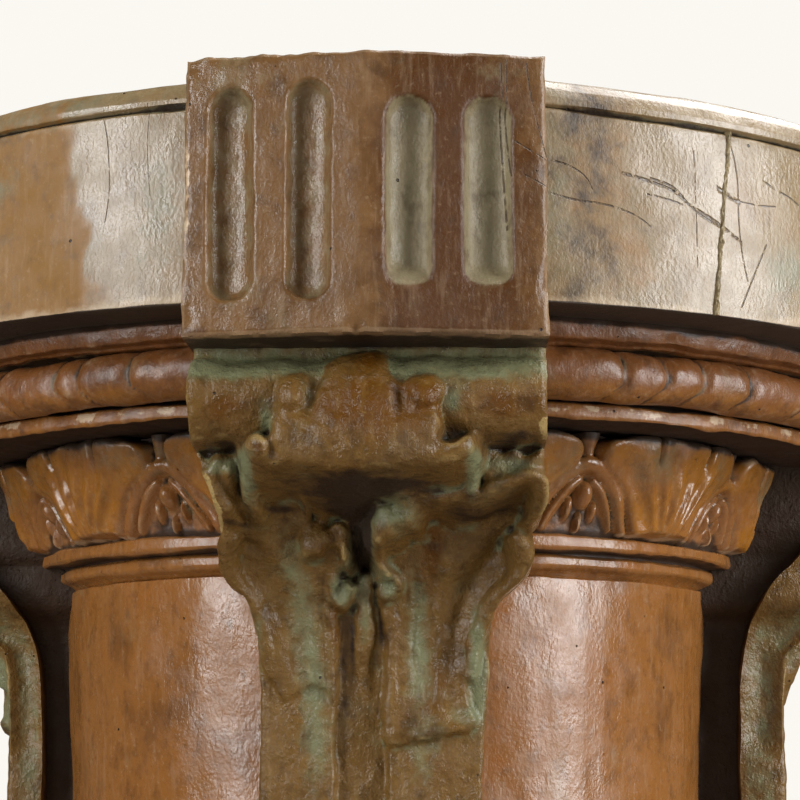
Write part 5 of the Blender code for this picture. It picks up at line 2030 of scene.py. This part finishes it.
BLOCK_SCRATCHES = (
    Scratch(((10, 3.8), (10.2, 25.6), (10.5, 44.9)), 0.3, upright=True),
    Scratch(((10.35, 3.1), (10.5, 23.1), (10.7, 33)), 0.25, upright=True),
    Scratch(((11.8, 3.6), (12.3, 15.4), (13.2, 27)), 0.3, upright=True),
    Scratch(((10.9, 23.3), (11.9, 25.4), (13.2, 28)), 0.4),
    Scratch(((11.6, 31.7), (13.1, 34.2)), 0.35),
)
FINISHES = (
    # The slab's grey-brown and ochre are smooth under thick varnish, and shine in broad patches.
    HeadClay(
        Coat.SLAB, "#86714f", amber="#875d1a", umber="#5c452a", green="#74735a", pale="#bfa98a",
        grime=0.35, mottle=0.25, lumps=0.14, grain=0.1, rubbed=0.26, varnish=1.62,
        scratches=SLAB_SCRATCHES),
    # The blocks are darker and browner, with painted shade on their right half and a painted grey-green
    # sheen in their flutes, and shine less.
    HeadClay(
        Coat.BLOCK, "#70502e", amber="#4a2802", umber="#3e2712", green="#80765a", pale="#bda282",
        lumps=0.22, grain=0.16, mottle=0.22, worn=0.2, rubbed=0.16, varnish=1.46, radius=196.0,
        scratches=BLOCK_SCRATCHES),
    # The mouldings are a warm brown with a dull sheen.
    VarnishedClay(
        Coat.MOULDING, "#744722", amber="#8c5a20", umber="#452813", green="#75664a", lumps=0.3,
        sheen=(0.3, 0.46), varnish=1.5),
    # The frieze is the brightest and glossiest, with small sharp lights on its ribs.
    VarnishedClay(
        Coat.FRIEZE, "#8a592c", amber="#98621f", umber="#57351a", green="#75664a", grime=0.35,
        lumps=0.25, rubbed=0.0, sheen=(0.2, 0.34), varnish=1.6),
    # The shaft and the base are a smooth orange brown with long reflections.
    VarnishedClay(
        Coat.SHAFT, "#8b5a2a", amber="#8f5620", green="#7a6a4e", grime=0.35, lumps=0.26,
        sheen=(0.19, 0.4), grain=0.07),
    # The brackets are dark and knobbly, so that the varnish breaks into small white sparks.
    VarnishedClay(
        Coat.BRACKET, "#6c4f25", amber="#5c3704", umber="#3a260f", green="#737758", pale="#a58b58",
        lumps=0.3, knobs=0.5, grain=0.22, mottle=0.3, rubbed=0.0, sheen=(0.22, 0.48), varnish=1.44),
)


def main() -> None:
    """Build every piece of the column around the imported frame."""
    logging.basicConfig(level=logging.INFO, format="%(name)s %(message)s")
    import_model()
    bpy.context.scene.view_settings.view_transform = "Standard"
    sizes = ColumnSizes.from_frame()
    Viewpoint(sizes).build()
    Studio(sizes).build()
    clay = {finish.place: finish.build() for finish in FINISHES}
    pieces = [
        TopSlab(sizes).build(clay[Coat.SLAB]),
        CrackFiller(sizes).build(LimeFiller().build()),
        RingMouldings(sizes).build(clay[Coat.MOULDING]),
        LeafFrieze(sizes).build(clay[Coat.FRIEZE]),
        Shaft(sizes).build(clay[Coat.SHAFT]),
        MouldedBase(sizes).build(clay[Coat.SHAFT]),
    ]
    for turn, name in enumerate(("front", "right", "back", "left")):
        # The photo's left bracket stands out less than the others below its roll.
        slim = 7.0 if name == "left" else 0.0
        pieces.append(FlutedBlock(sizes).build(clay[Coat.BLOCK], name, turn))
        pieces.append(LeafBracket(sizes, slim=slim).build(clay[Coat.BRACKET], name, turn))
    for piece in pieces:
        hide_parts(NODE)


if __name__ == "__main__":
    main()
